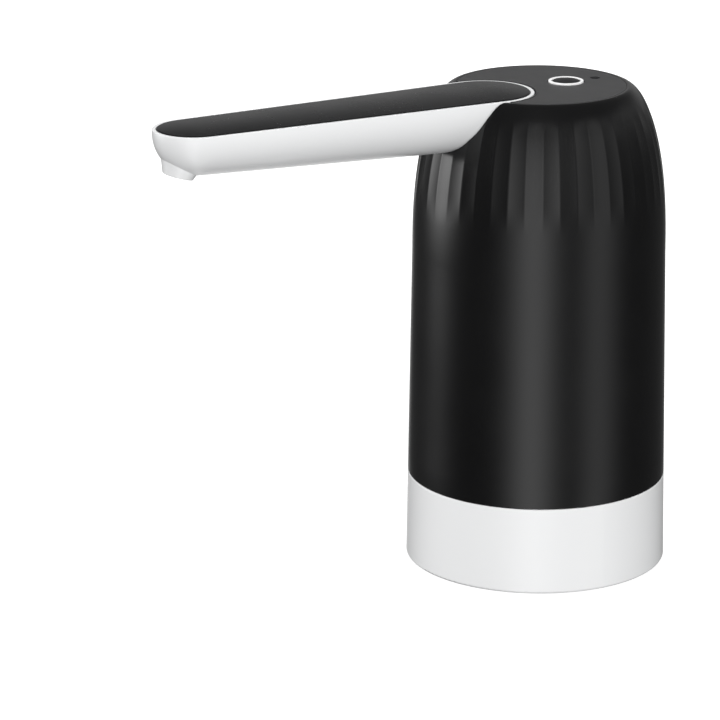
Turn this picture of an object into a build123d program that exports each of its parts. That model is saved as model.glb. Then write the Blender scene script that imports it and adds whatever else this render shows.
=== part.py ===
from build123d import *

import os
from math import cos, radians, sin, sqrt, tan

# Rechargeable pump that stands on the neck of a large water bottle, in millimetres.
# The origin is the middle of the neck socket's mouth, Z is up and the spout points along -Y.

# Cell, pump and motor that the case is built round
cell_diameter = 18.4
cell_length = 65.0
pump_diameter = 25.0
motor_diameter = 24.4
motor_length = 30.8
stack_gap = 0.6
case_gap = 1.5

# Case
shell_wall = 2.2
case_draft = 1.32
shoulder_rise = 46.6
shoulder_inset = 11.5
base_height = 24.4
spigot_rise = 5.6
cap_thickness = 2.4
cap_gap = 0.15
ledge_width = 1.6
ledge_height = 2.0
seam_edge = 0.4
slip_fit = 0.1
close_fit = 0.05
press_fit = 0.01

# Flutes round the shoulder
flute_count = 45
flute_depth = 0.16
flute_drop = 3.0
flute_length = 31.6
flute_run_in = 4.0
flute_run_out = 9.5
flute_sections = 11

# Neck socket in the base
neck_diameter = 55.0
neck_clearance = 0.4
neck_ledge = 3.4
collar_wall = 2.0
hose_room = 10.5
deck_thickness = 2.5
rib_count = 12
rib_thickness = 1.6
base_edge = 0.7

# Water way
hose_radius = 4.0
nipple_radius = 2.5
nipple_bore = 1.7
inlet_radius = 3.0
inlet_bore = 2.0
inlet_tip_gap = 1.5

# Pump, from the bottom up
frame_floor = 2.0
tube_room = 10.0
head_height = 8.0
plate_height = 3.0
flange_height = 1.4
housing_height = 20.6
housing_wall = 1.3
housing_top = 2.0
lug_count = 4
lug_radius = 2.4
lug_reach = 1.4
pump_screw_radius = 0.95
chamber_count = 3
chamber_circle = 6.0
wobble_tilt = 7.0
wobble_rise = 5.6
wobble_thickness = 2.4

# Spout
spout_root = 17.95
spout_reach = 106.1
root_half = 13.6
tip_half = 11.25
rim_side = 1.7
rim_width = 1.1
rim_lift = 0.05
rim_edge = 0.3
panel_thickness = 1.6
panel_crown = 0.4
panel_lift = 0.3
panel_edge = 0.35
panel_ledge = 1.2
seat_gap = 0.35
seat_drop = 0.5
pocket_wall = 1.6
spigot_length = 9.0
plug_root = 3.6
socket_radius = 4.15
nozzle_ahead = 5.15
nozzle_drop = 12.2
nozzle_tilt = 22.0
nozzle_radius = 4.1
nozzle_wall = 1.1
nozzle_length = 7.0

# Button, indicator and board
button_back = 8.1
bezel_radius = 4.9
bezel_width = 0.9
button_travel = 0.5
lens_inset = 6.1
lens_radius = 1.4
lens_recess = 0.4
board_drop = 10.2
board_thickness = 1.2
head_room = 26.08

# Levels that follow from the sizes above
end_flange = 2.0
bracket_thickness = 1.6
deck_top = base_height + spigot_rise
deck_under = deck_top - deck_thickness
neck_depth = deck_under - hose_room
floor_top = deck_top + frame_floor
pump_seat = floor_top + tube_room
valve_seat = pump_seat + head_height
cup_seat = valve_seat + plate_height
housing_seat = cup_seat + flange_height
motor_seat = housing_seat + housing_height
motor_top = motor_seat + motor_length
bracket_seat = motor_top + end_flange
bracket_top = bracket_seat + bracket_thickness
pump_height = bracket_top + head_room
cap_under = pump_height - cap_thickness
shoulder_start = pump_height - shoulder_rise
flute_top = pump_height - flute_drop
flute_bottom = flute_top - flute_length
rim_level = pump_height + rim_lift
root_depth = root_half + rim_side
seat_level = rim_level - root_depth - seat_gap - seat_drop
board_top = pump_height - board_drop
board_under = board_top - board_thickness

# Radii that follow from the sizes above
pump_radius = pump_diameter / 2
motor_radius = motor_diameter / 2
cell_radius = cell_diameter / 2
cell_back = pump_radius + stack_gap + cell_radius
shoulder_radius = pump_radius + stack_gap + cell_diameter + case_gap + shell_wall
base_radius = shoulder_radius + case_draft
opening_radius = shoulder_radius - shoulder_inset
lens_back = opening_radius - lens_inset
inner_inset = shoulder_inset - shell_wall
inner_rise = shoulder_rise - cap_thickness
neck_radius = neck_diameter / 2 + neck_clearance


def body_radius(height):
    """Outside radius of the case: a straight draft, then a quarter of an ellipse."""
    if height <= shoulder_start:
        return base_radius - case_draft * height / shoulder_start
    share = (height - shoulder_start) / shoulder_rise
    return opening_radius + shoulder_inset * sqrt(max(0.0, 1 - share**2))


def inner_radius(height):
    """Inside radius of the case at a height."""
    if height <= shoulder_start:
        return body_radius(height) - shell_wall
    share = (height - shoulder_start) / inner_rise
    return opening_radius + inner_inset * sqrt(max(0.0, 1 - share**2))


def smooth_step(share):
    """Rises smoothly from 0 to 1 as the share goes from 0 to 1."""
    share = min(1.0, max(0.0, share))
    return share * share * (3 - 2 * share)


def flute_fade(height):
    """How deep the flutes are at a height, as a share of their full depth."""
    below = smooth_step((flute_top - height) / flute_run_in)
    above = smooth_step((height - flute_bottom) / flute_run_out)
    return below * above


def flute_ring(height):
    """Cross-section of the fluted band: one hollow arc for each flute, meeting at sharp crests."""
    crest = body_radius(height)
    valley = crest - flute_depth * flute_fade(height)
    pitch = 360 / flute_count
    arcs = []
    for flute in range(flute_count):
        turns = [radians(pitch * (flute + part / 2 - 0.5) - 90) for part in range(3)]
        points = [(r * cos(t), r * sin(t), height) for r, t in zip((crest, valley, crest), turns)]
        arcs.append(ThreePointArc(*points))
    return Face(Wire(arcs))


def spout_sides(grow):
    """Where the straight sides of the spout's plan touch its root end and its tip end."""
    root = root_half + grow
    tip = tip_half + grow
    lean = (root - tip) / (spout_reach - spout_root)
    across = sqrt(1 - lean**2)
    return (root * across, -spout_root - root * lean), (tip * across, -spout_reach - tip * lean)


def spout_form(grow, headroom):
    """The boat-shaped spout made larger all round by grow: a round keel under upright sides."""
    root_side, tip_side = spout_sides(grow)
    root_end = (0, root_half + grow - spout_root)
    tip_end = (0, -tip_half - grow - spout_reach)
    bow = sqrt(0.5)
    root_mid = ((root_half + grow) * bow, (root_half + grow) * bow - spout_root)
    tip_mid = ((tip_half + grow) * bow, -(tip_half + grow) * bow - spout_reach)
    with BuildPart() as form:
        with BuildSketch(Plane.XY.offset(rim_level - rim_side)):
            with BuildLine():
                ThreePointArc(root_end, root_mid, root_side)
                Line(root_side, tip_side)
                ThreePointArc(tip_side, tip_mid, tip_end)
                Line(tip_end, root_end)
            make_face()
        revolve(axis=Axis((0, 0, rim_level - rim_side), (0, 1, 0)), revolution_arc=180)
        add(spout_plate(grow, -rim_side, headroom))
    return form.part


def spout_outline(grow):
    """The plan of the spout: a round end at root and tip, joined by straight sides."""
    root_side, tip_side = spout_sides(grow)
    with BuildSketch() as outline:
        with BuildLine():
            ThreePointArc(root_side, (0, root_half + grow - spout_root), (-root_side[0], root_side[1]))
            Line((-root_side[0], root_side[1]), (-tip_side[0], tip_side[1]))
            ThreePointArc((-tip_side[0], tip_side[1]), (0, -tip_half - grow - spout_reach), tip_side)
            Line(tip_side, root_side)
        make_face()
    return outline.sketch


def spout_plate(grow, foot, top):
    """The plan of the spout as a plate between two heights measured from its rim."""
    with BuildPart() as plate:
        with BuildSketch(Plane.XY.offset(rim_level + foot)):
            add(spout_outline(grow))
        extrude(amount=top - foot)
    return plate.part


def lug_plate(height, thickness):
    """Round plate of the pump with its four screw lugs and their holes."""
    with BuildPart() as plate:
        with BuildSketch(Plane.XY.offset(height)):
            Circle(pump_radius)
            with PolarLocations(pump_radius + lug_reach, lug_count, start_angle=45):
                Circle(lug_radius)
            with PolarLocations(pump_radius + lug_reach, lug_count, start_angle=45):
                Circle(pump_screw_radius + close_fit, mode=Mode.SUBTRACT)
        extrude(amount=thickness)
    return plate.part


def pan_screws(places, seat, up, shank_radius, head_radius, head, length):
    """Pan-head screws at the places; up is 1 if they point up and -1 if they point down."""
    with BuildPart() as screws:
        for x, y in places:
            with BuildSketch(Plane((x, y, seat), x_dir=(1, 0, 0), z_dir=(0, 0, up))):
                Circle(shank_radius)
            extrude(amount=length)
            with BuildSketch(Plane((x, y, seat), x_dir=(1, 0, 0), z_dir=(0, 0, -up))):
                Circle(head_radius)
            extrude(amount=head)
    return screws.part


def lead(points, bend, radius):
    """One insulated lead along a path of straight runs and bends."""
    with BuildPart() as wire:
        with BuildLine() as path:
            FilletPolyline(*points, radius=bend)
        with BuildSketch(Plane(path.line @ 0, z_dir=path.line % 0)):
            Circle(radius)
        sweep()
    return wire.part


def polar_places(radius, count, start):
    """Places evenly round the pump's axis."""
    turns = [radians(start + 360 / count * k) for k in range(count)]
    return [(radius * cos(turn), radius * sin(turn)) for turn in turns]


os.makedirs("parts", exist_ok=True)

# Base cup: skirt, neck collar, stop ledge and deck in one moulding
seam_radius = body_radius(base_height)
base_roof = base_height - shell_wall
collar_radius = neck_radius + collar_wall
skirt_inner = base_radius - shell_wall
spigot_radius = inner_radius(deck_top) - slip_fit
spigot_inner = spigot_radius - collar_wall
well_radius = neck_radius - neck_ledge
well_outer = well_radius + collar_wall
inlet_shoulder = 1.0
inlet_hole = inlet_radius + inlet_shoulder
rib_foot = 1.0
frame_screw_radius = 1.15
frame_screw_circle = 20.0
frame_screw_count = 3
frame_screw_turn = 30
frame_screw_places = polar_places(frame_screw_circle, frame_screw_count, frame_screw_turn)
with BuildPart() as base_cup:
    with BuildSketch(Plane.XZ):
        with BuildLine():
            Polyline(
                (neck_radius, 0),
                (collar_radius, 0),
                (collar_radius, base_roof),
                (skirt_inner, base_roof),
                (skirt_inner, 0),
                (base_radius, 0),
                (seam_radius, base_height),
                (spigot_radius, base_height),
                (spigot_radius, deck_top),
                (spigot_inner, deck_top),
                (spigot_inner, base_height),
                (well_outer, base_height),
                (well_outer, deck_top),
                (inlet_hole, deck_top),
                (inlet_hole, deck_under),
                (well_radius, deck_under),
                (well_radius, neck_depth),
                (neck_radius, neck_depth),
                close=True,
            )
        make_face()
    revolve(axis=Axis.Z)
    rim_edges = base_cup.edges().filter_by(GeomType.CIRCLE).group_by(Axis.Z)[0]
    fillet(rim_edges.sort_by(SortBy.RADIUS)[-1], base_edge)
    seam_rings = base_cup.edges().filter_by(GeomType.CIRCLE)
    seam_rings = seam_rings.filter_by_position(Axis.Z, base_height - press_fit, base_height + press_fit)
    fillet(seam_rings.sort_by(SortBy.RADIUS)[-1], seam_edge)
    with BuildSketch(Plane.XY.offset(rib_foot)):
        with PolarLocations((collar_radius + skirt_inner) / 2, rib_count, start_angle=180 / rib_count):
            Rectangle(skirt_inner - collar_radius + shell_wall / 2, rib_thickness)
    extrude(amount=base_roof - rib_foot + shell_wall / 2)
    with BuildSketch(Plane.XY.offset(deck_under)):
        with Locations(*frame_screw_places):
            Circle(frame_screw_radius + slip_fit)
    extrude(amount=deck_thickness, mode=Mode.SUBTRACT)
base_cup.part.label = "base_cup"
export_step(base_cup.part, "parts/base_cup.step")

# Inlet fitting: hose nipple below the deck, tube nipple above it
inlet_tip = neck_depth + inlet_tip_gap
inlet_chamfer = 0.5
inlet_flange = 1.5
inlet_flange_width = 2.5
nipple_length = 4.5
inlet_flange_radius = inlet_hole + inlet_flange_width
inlet_top = deck_top + inlet_flange + nipple_length
with BuildPart() as inlet_fitting:
    with BuildSketch(Plane.XZ):
        with BuildLine():
            Polyline(
                (inlet_bore, inlet_tip),
                (inlet_radius - inlet_chamfer, inlet_tip),
                (inlet_radius, inlet_tip + inlet_chamfer),
                (inlet_radius, deck_under),
                (inlet_hole - close_fit, deck_under),
                (inlet_hole - close_fit, deck_top),
                (inlet_flange_radius, deck_top),
                (inlet_flange_radius, deck_top + inlet_flange),
                (nipple_radius, deck_top + inlet_flange),
                (nipple_radius, inlet_top),
                (nipple_bore, inlet_top),
                (nipple_bore, deck_top),
                (inlet_bore, deck_under),
                close=True,
            )
        make_face()
    revolve(axis=Axis.Z)
inlet_fitting.part.label = "inlet_fitting"
export_step(inlet_fitting.part, "parts/inlet_fitting.step")

# Inlet tube between the fitting and the pump
with BuildPart() as inlet_tube:
    with BuildSketch(Plane.XY.offset(deck_top + inlet_flange)):
        Circle(hose_radius)
        Circle(nipple_radius + close_fit, mode=Mode.SUBTRACT)
    extrude(amount=pump_seat - deck_top - inlet_flange)
inlet_tube.part.label = "inlet_tube"
export_step(inlet_tube.part, "parts/inlet_tube.step")

# Body shell: outer form, flute band, cavity, ledge for the cap, spout notch and charging port
port_width = 9.5
port_height = 3.8
usb_height = 3.26
port_level = board_under - usb_height / 2
flute_step = (flute_top - flute_bottom) / (flute_sections - 1)
flute_rings = [flute_ring(flute_bottom + flute_step * section) for section in range(flute_sections)]
with BuildPart() as cap_ledge:
    with BuildSketch(Plane.XY.offset(cap_under - ledge_height)):
        Circle(inner_radius(cap_under - ledge_height) + shell_wall / 4)
        Circle(opening_radius - ledge_width, mode=Mode.SUBTRACT)
    extrude(amount=ledge_height)
    add(spout_form(seat_gap * 2 + pocket_wall, cap_thickness), mode=Mode.SUBTRACT)
with BuildPart() as body_shell:
    with BuildSketch(Plane.XZ):
        with BuildLine():
            Line((0, pump_height), (0, base_height))
            Line((0, base_height), (seam_radius, base_height))
            Line((seam_radius, base_height), (shoulder_radius, shoulder_start))
            EllipticalCenterArc(
                (opening_radius, shoulder_start), shoulder_inset, shoulder_rise, start_angle=0, arc_size=90
            )
            Line((opening_radius, pump_height), (0, pump_height))
        make_face()
    revolve(axis=Axis.Z)
    fillet(body_shell.edges().filter_by(GeomType.CIRCLE).group_by(Axis.Z)[0], seam_edge)
    with BuildSketch(Plane.XY.offset(flute_bottom)):
        Circle(base_radius * 2)
    extrude(amount=flute_top - flute_bottom, mode=Mode.SUBTRACT)
    loft(flute_rings)
    with BuildSketch(Plane.XZ):
        with BuildLine():
            Line((0, cap_under), (0, base_height))
            Line((0, base_height), (inner_radius(base_height), base_height))
            Line((inner_radius(base_height), base_height), (inner_radius(shoulder_start), shoulder_start))
            EllipticalCenterArc(
                (opening_radius, shoulder_start), inner_inset, inner_rise, start_angle=0, arc_size=90
            )
            Line((opening_radius, cap_under), (0, cap_under))
        make_face()
    revolve(axis=Axis.Z, mode=Mode.SUBTRACT)
    with BuildSketch(Plane.XY.offset(cap_under)):
        Circle(opening_radius)
    extrude(amount=cap_thickness, mode=Mode.SUBTRACT)
    add(cap_ledge.part)
    add(spout_form(seat_gap, cap_thickness), mode=Mode.SUBTRACT)
    with BuildSketch(Plane((0, 0, port_level), x_dir=(1, 0, 0), z_dir=(0, 1, 0))):
        SlotOverall(port_width, port_height)
    extrude(amount=base_radius, mode=Mode.SUBTRACT)
body_shell.part.label = "body_shell"
export_step(body_shell.part, "parts/body_shell.step")

# Top cap: disc, locating skirt, spout pocket, spout socket and board bosses
cap_radius = opening_radius - cap_gap
skirt_radius = opening_radius - ledge_width - slip_fit * 2
skirt_depth = 3.0
cap_chamfer = 0.35
recess_bevel = 0.6
ring_groove = 0.25
ring_groove_depth = 0.5
boss_radius = 2.4
boss_out = 11.0
boss_back = 6.0
boss_places = ((boss_out, boss_back), (-boss_out, boss_back))
board_screw_radius = 0.95
socket_wall = 1.5
shoulder_seat = 6.0
plug_gap = 0.8
outlet_nipple = 5.5
socket_floor = seat_level - spigot_length - plug_gap
socket_foot = socket_floor - socket_wall
outlet_tip = socket_foot - outlet_nipple
with BuildPart() as pocket_room:
    with BuildSketch(Plane.XZ):
        with BuildLine():
            Line((0, cap_under), (0, shoulder_start))
            Line((0, shoulder_start), (shoulder_radius - shell_wall - seat_gap, shoulder_start))
            EllipticalCenterArc(
                (opening_radius, shoulder_start),
                inner_inset - seat_gap,
                inner_rise - seat_gap,
                start_angle=0,
                arc_size=90,
            )
            Line((opening_radius, cap_under - seat_gap), (skirt_radius, cap_under - seat_gap))
            Line((skirt_radius, cap_under - seat_gap), (skirt_radius, cap_under))
            Line((skirt_radius, cap_under), (0, cap_under))
        make_face()
    revolve(axis=Axis.Z)
    add(spout_form(seat_gap + pocket_wall, 0), mode=Mode.INTERSECT)
with BuildPart() as top_cap:
    with BuildSketch(Plane.XY.offset(cap_under)):
        Circle(cap_radius)
    extrude(amount=cap_thickness)
    chamfer(top_cap.edges().group_by(Axis.Z)[-1], cap_chamfer)
    with BuildSketch(Plane.XY.offset(cap_under - skirt_depth)):
        Circle(skirt_radius)
        Circle(skirt_radius - collar_wall, mode=Mode.SUBTRACT)
    extrude(amount=skirt_depth)
    add(pocket_room.part)
    with BuildSketch(Plane.XY.offset(seat_level - pocket_wall * 2)):
        with Locations((0, -spout_root)):
            Circle(shoulder_seat + socket_wall)
    extrude(amount=pocket_wall * 3)
    with BuildSketch(Plane.XY.offset(socket_foot)):
        with Locations((0, -spout_root)):
            Circle(socket_radius + socket_wall)
    extrude(amount=seat_level - socket_foot)
    with BuildSketch(Plane.XY.offset(outlet_tip)):
        with Locations((0, -spout_root)):
            Circle(nipple_radius)
    extrude(amount=socket_foot - outlet_tip)
    add(spout_form(seat_gap, cap_thickness), mode=Mode.SUBTRACT)
    with BuildSketch(Plane.XY.offset(pump_height - recess_bevel)):
        add(spout_outline(seat_gap))
    with BuildSketch(Plane.XY.offset(pump_height)):
        add(spout_outline(seat_gap + recess_bevel))
    loft(mode=Mode.SUBTRACT)
    with BuildSketch(Plane.XY.offset(seat_level)):
        with Locations((0, -spout_root)):
            Circle(shoulder_seat + seat_gap)
    extrude(amount=root_depth, mode=Mode.SUBTRACT)
    with BuildSketch(Plane.XY.offset(socket_floor)):
        with Locations((0, -spout_root)):
            Circle(socket_radius)
    extrude(amount=seat_level - socket_floor, mode=Mode.SUBTRACT)
    with BuildSketch(Plane.XY.offset(outlet_tip)):
        with Locations((0, -spout_root)):
            Circle(nipple_bore)
    extrude(amount=socket_floor - outlet_tip, mode=Mode.SUBTRACT)
    with BuildSketch(Plane.XY.offset(board_top)):
        with Locations(*boss_places):
            Circle(boss_radius)
    extrude(amount=cap_under - board_top)
    with BuildSketch(Plane.XY.offset(board_top)):
        with Locations(*boss_places):
            Circle(board_screw_radius + close_fit)
    extrude(amount=boss_radius * 2.2, mode=Mode.SUBTRACT)
    with BuildSketch(Plane.XY.offset(cap_under)):
        with Locations((0, button_back)):
            Circle(bezel_radius + close_fit)
        with Locations((0, lens_back)):
            Circle(lens_radius + close_fit)
    extrude(amount=cap_thickness, mode=Mode.SUBTRACT)
    with BuildSketch(Plane.XY.offset(pump_height - ring_groove_depth)):
        with Locations((0, button_back)):
            Circle(bezel_radius + ring_groove)
    extrude(amount=ring_groove_depth, mode=Mode.SUBTRACT)
top_cap.part.label = "top_cap"
export_step(top_cap.part, "parts/top_cap.step")

# Button bezel: white ring that guides the button
bezel_proud = 0.4
bezel_flange = 1.6
bezel_edge = 0.25
bezel_inner = bezel_radius - bezel_width
with BuildPart() as button_bezel:
    with BuildSketch(Plane.XY.offset(cap_under - bezel_flange)):
        with Locations((0, button_back)):
            Circle(bezel_radius + bezel_width)
            Circle(bezel_inner, mode=Mode.SUBTRACT)
    extrude(amount=bezel_flange)
    with BuildSketch(Plane.XY.offset(cap_under)):
        with Locations((0, button_back)):
            Circle(bezel_radius)
            Circle(bezel_inner, mode=Mode.SUBTRACT)
    extrude(amount=cap_thickness + bezel_proud)
    fillet(button_bezel.edges().group_by(Axis.Z)[-1], bezel_edge)
button_bezel.part.label = "button_bezel"
export_step(button_bezel.part, "parts/button_bezel.step")

# Button: crowned cap, retaining flange and stem
switch_height = 3.5
plunger_rise = 1.1
button_proud = 0.3
button_crown = 0.4
button_edge = 0.3
stem_radius = 1.8
retain_gap = 0.3
retain_height = 0.5
switch_top = board_top + switch_height
plunger_top = switch_top + plunger_rise
retain_top = cap_under - bezel_flange - retain_gap
button_radius = bezel_inner - slip_fit
with BuildPart() as button_cap:
    with BuildSketch(Plane((0, button_back, 0), x_dir=(1, 0, 0), z_dir=(0, -1, 0))):
        with BuildLine():
            Polyline(
                (0, pump_height + button_proud + button_crown),
                (0, plunger_top),
                (stem_radius, plunger_top),
                (stem_radius, retain_top - retain_height),
                (bezel_inner + bezel_width, retain_top - retain_height),
                (bezel_inner + bezel_width, retain_top),
                (button_radius, retain_top),
                (button_radius, pump_height + button_proud - button_edge),
                (button_radius - button_edge, pump_height + button_proud),
            )
            TangentArc(
                (0, pump_height + button_proud + button_crown),
                (button_radius - button_edge, pump_height + button_proud),
                tangent=(1, 0),
            )
        make_face()
    revolve(axis=Axis((0, button_back, 0), (0, 0, 1)))
button_cap.part.label = "button_cap"
export_step(button_cap.part, "parts/button_cap.step")

# Indicator lens behind the button
led_height = 1.2
led_gap = 0.3
lens_flange = 0.6
lens_edge = 0.2
with BuildPart() as indicator_lens:
    with BuildSketch(Plane.XY.offset(board_top + led_height + led_gap)):
        with Locations((0, lens_back)):
            Circle(lens_radius)
    extrude(amount=pump_height - lens_recess - board_top - led_height - led_gap)
    chamfer(indicator_lens.edges().group_by(Axis.Z)[-1], lens_edge)
    with BuildSketch(Plane.XY.offset(cap_under - bezel_flange)):
        with Locations((0, lens_back)):
            Circle(lens_radius + lens_flange)
    extrude(amount=bezel_flange)
indicator_lens.part.label = "indicator_lens"
export_step(indicator_lens.part, "parts/indicator_lens.step")

# Spout hull: hollow boat form, panel rebate, plug for the socket and tilted nozzle
plug_radius = socket_radius - slip_fit
plug_bore = 1.9
seal_section = 0.6
seal_circle = socket_radius - close_fit - seal_section
seal_level = seat_level - spigot_length / 2
panel_inset = rim_width + panel_ledge
nozzle_plane = Plane(
    (0, -spout_reach - nozzle_ahead, rim_level - nozzle_drop),
    x_dir=(1, 0, 0),
    z_dir=(0, sin(radians(nozzle_tilt)), cos(radians(nozzle_tilt))),
)
nozzle_flare = 6.0
with BuildPart() as spout_hull:
    add(spout_form(0, 0))
    with BuildSketch(nozzle_plane):
        Circle(nozzle_radius)
    extrude(amount=nozzle_length, taper=-nozzle_flare)
    with BuildSketch(Plane.XY.offset(seat_level)):
        with Locations((0, -spout_root)):
            Circle(shoulder_seat)
    extrude(amount=plug_root)
    add(spout_form(-panel_inset, 0), mode=Mode.SUBTRACT)
    add(spout_plate(close_fit - rim_width, -panel_thickness, 0), mode=Mode.SUBTRACT)
    with BuildSketch(Plane.XY.offset(seat_level - spigot_length)):
        with Locations((0, -spout_root)):
            Circle(plug_radius)
    extrude(amount=spigot_length)
    with BuildSketch(Plane.XY.offset(seal_level - seal_section * 1.2)):
        with Locations((0, -spout_root)):
            Circle(plug_radius)
            Circle(seal_circle - seal_section - close_fit, mode=Mode.SUBTRACT)
    extrude(amount=seal_section * 2.4, mode=Mode.SUBTRACT)
    with BuildSketch(Plane.XY.offset(seat_level - spigot_length)):
        with Locations((0, -spout_root)):
            Circle(plug_bore)
    extrude(amount=spigot_length + plug_root * 1.5, mode=Mode.SUBTRACT)
    with BuildSketch(nozzle_plane):
        Circle(nozzle_radius - nozzle_wall)
    extrude(amount=nozzle_length, mode=Mode.SUBTRACT)
    fillet(spout_hull.edges().group_by(Axis.Z)[-1], rim_edge)
spout_hull.part.label = "spout_hull"
export_step(spout_hull.part, "parts/spout_hull.step")

# Spout panel: crowned plate with an eased edge, standing a little proud of the hull's rim
with BuildPart() as spout_panel:
    with BuildSketch(Plane((0, 0, rim_level), x_dir=(1, 0, 0), z_dir=(0, -1, 0))):
        with BuildLine():
            Polyline(
                (-root_half, panel_lift),
                (-root_half, -panel_thickness),
                (root_half, -panel_thickness),
                (root_half, panel_lift),
            )
            ThreePointArc((root_half, panel_lift), (0, panel_lift + panel_crown), (-root_half, panel_lift))
        make_face()
    extrude(amount=spout_reach + root_half)
    add(spout_plate(-rim_width, -panel_thickness, panel_thickness), mode=Mode.INTERSECT)
    fillet(spout_panel.faces().sort_by(Axis.Z)[-1].edges(), panel_edge)
spout_panel.part.label = "spout_panel"
export_step(spout_panel.part, "parts/spout_panel.step")

# Spout seal: ring in the groove of the plug
with BuildPart() as spout_seal:
    with BuildSketch(Plane((0, -spout_root, seal_level), x_dir=(1, 0, 0), z_dir=(0, -1, 0))):
        with Locations((seal_circle, 0)):
            Circle(seal_section)
    revolve(axis=Axis((0, -spout_root, 0), (0, 0, 1)))
spout_seal.part.label = "spout_seal"
export_step(spout_seal.part, "parts/spout_seal.step")

# Pump head: inlet nipple below, two chambers, side arm and outlet nipple
head_skin = 2.0
inlet_chamber = 5.0
outlet_chamber_inner = 6.2
outlet_chamber_outer = 10.4
arm_radius = 3.4
arm_level = pump_seat + head_height / 2
outlet_circle = (outlet_chamber_inner + outlet_chamber_outer) / 2
with BuildPart() as pump_head:
    add(lug_plate(pump_seat, head_height))
    with BuildSketch(Plane.XY.offset(pump_seat)):
        Circle(nipple_radius)
    extrude(amount=-(pump_seat - inlet_top - inlet_flange))
    with BuildSketch(Plane((0, 0, arm_level), x_dir=(1, 0, 0), z_dir=(0, -1, 0))):
        Circle(arm_radius)
    extrude(amount=spout_root)
    with BuildSketch(Plane.XY.offset(arm_level - arm_radius)):
        with Locations((0, -spout_root)):
            Circle(arm_radius)
    extrude(amount=arm_radius + head_height / 2)
    with BuildSketch(Plane.XY.offset(valve_seat)):
        with Locations((0, -spout_root)):
            Circle(nipple_radius)
    extrude(amount=head_height * 3 / 4)
    with BuildSketch(Plane.XY.offset(pump_seat + head_skin)):
        Circle(inlet_chamber)
    extrude(amount=head_height - head_skin, mode=Mode.SUBTRACT)
    with BuildSketch(Plane.XY.offset(pump_seat + head_skin)):
        Circle(outlet_chamber_outer)
        Circle(outlet_chamber_inner, mode=Mode.SUBTRACT)
    extrude(amount=head_height - head_skin, mode=Mode.SUBTRACT)
    with BuildSketch(Plane.XY.offset(inlet_top)):
        Circle(nipple_bore)
    extrude(amount=pump_seat + head_skin - inlet_top, mode=Mode.SUBTRACT)
    with BuildSketch(Plane((0, -outlet_circle, arm_level), x_dir=(1, 0, 0), z_dir=(0, -1, 0))):
        Circle(nipple_bore)
    extrude(amount=spout_root - outlet_circle, mode=Mode.SUBTRACT)
    with BuildSketch(Plane.XY.offset(arm_level)):
        with Locations((0, -spout_root)):
            Circle(nipple_bore)
    extrude(amount=head_height * 3 / 2, mode=Mode.SUBTRACT)
pump_head.part.label = "pump_head"
export_step(pump_head.part, "parts/pump_head.step")

# Valve plate with an inlet and an outlet hole for each chamber
valve_hole = 1.0
inlet_inset = 2.4
inlet_circle = chamber_circle - inlet_inset
with BuildPart() as valve_plate:
    add(lug_plate(valve_seat, plate_height))
    with BuildSketch(Plane.XY.offset(valve_seat)):
        with PolarLocations(inlet_circle, chamber_count, start_angle=90):
            Circle(valve_hole)
        with PolarLocations(outlet_circle, chamber_count, start_angle=90):
            Circle(valve_hole)
    extrude(amount=plate_height, mode=Mode.SUBTRACT)
valve_plate.part.label = "valve_plate"
export_step(valve_plate.part, "parts/valve_plate.step")

# Valve flaps: inlet flaps above the plate, outlet flaps below it
flap_thickness = 0.6
inlet_flap = 1.3
outlet_flap = 1.8
with BuildPart() as inlet_valves:
    with BuildSketch(Plane.XY.offset(cup_seat)):
        with PolarLocations(inlet_circle, chamber_count, start_angle=90):
            Circle(inlet_flap)
    extrude(amount=flap_thickness)
inlet_valves.part.label = "inlet_valves"
export_step(inlet_valves.part, "parts/inlet_valves.step")
with BuildPart() as outlet_valves:
    with BuildSketch(Plane.XY.offset(valve_seat)):
        with PolarLocations(outlet_circle, chamber_count, start_angle=90):
            Circle(outlet_flap)
    extrude(amount=-flap_thickness)
outlet_valves.part.label = "outlet_valves"
export_step(outlet_valves.part, "parts/outlet_valves.step")

# Diaphragm: flange with three cups whose stems pull through the wobble plate
cup_radius = 4.9
cup_crown = 2.4
cup_wall = 0.8
cup_gap = 0.4
stem_rubber = 1.3
bulb_radius = 2.1
bulb_height = 1.2
wobble_level = housing_seat + wobble_rise
tilt_slope = tan(radians(wobble_tilt))
plate_half = wobble_thickness / 2 / cos(radians(wobble_tilt))
with BuildPart() as diaphragm:
    add(lug_plate(cup_seat, flange_height))
    for x, y in polar_places(chamber_circle, chamber_count, 90):
        plate_level = wobble_level - y * tilt_slope
        cup_height = plate_level - plate_half - cup_gap - housing_seat
        with Locations((x, y, housing_seat + cup_height / 2)):
            Cone(cup_radius, cup_crown, cup_height)
        with Locations((x, y, cup_seat)):
            Cone(
                cup_radius - cup_wall,
                cup_crown - cup_wall,
                cup_height + flange_height - cup_wall,
                align=(Align.CENTER, Align.CENTER, Align.MIN),
                mode=Mode.SUBTRACT,
            )
        with BuildSketch(Plane.XY.offset(housing_seat + cup_height - cup_wall)):
            with Locations((x, y)):
                Circle(stem_rubber)
        extrude(amount=cup_wall + cup_gap * 2 + plate_half * 2)
        with BuildSketch(Plane.XY.offset(plate_level + plate_half + cup_gap)):
            with Locations((x, y)):
                Circle(bulb_radius)
        extrude(amount=bulb_height)
diaphragm.part.label = "diaphragm"
export_step(diaphragm.part, "parts/diaphragm.step")

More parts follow.
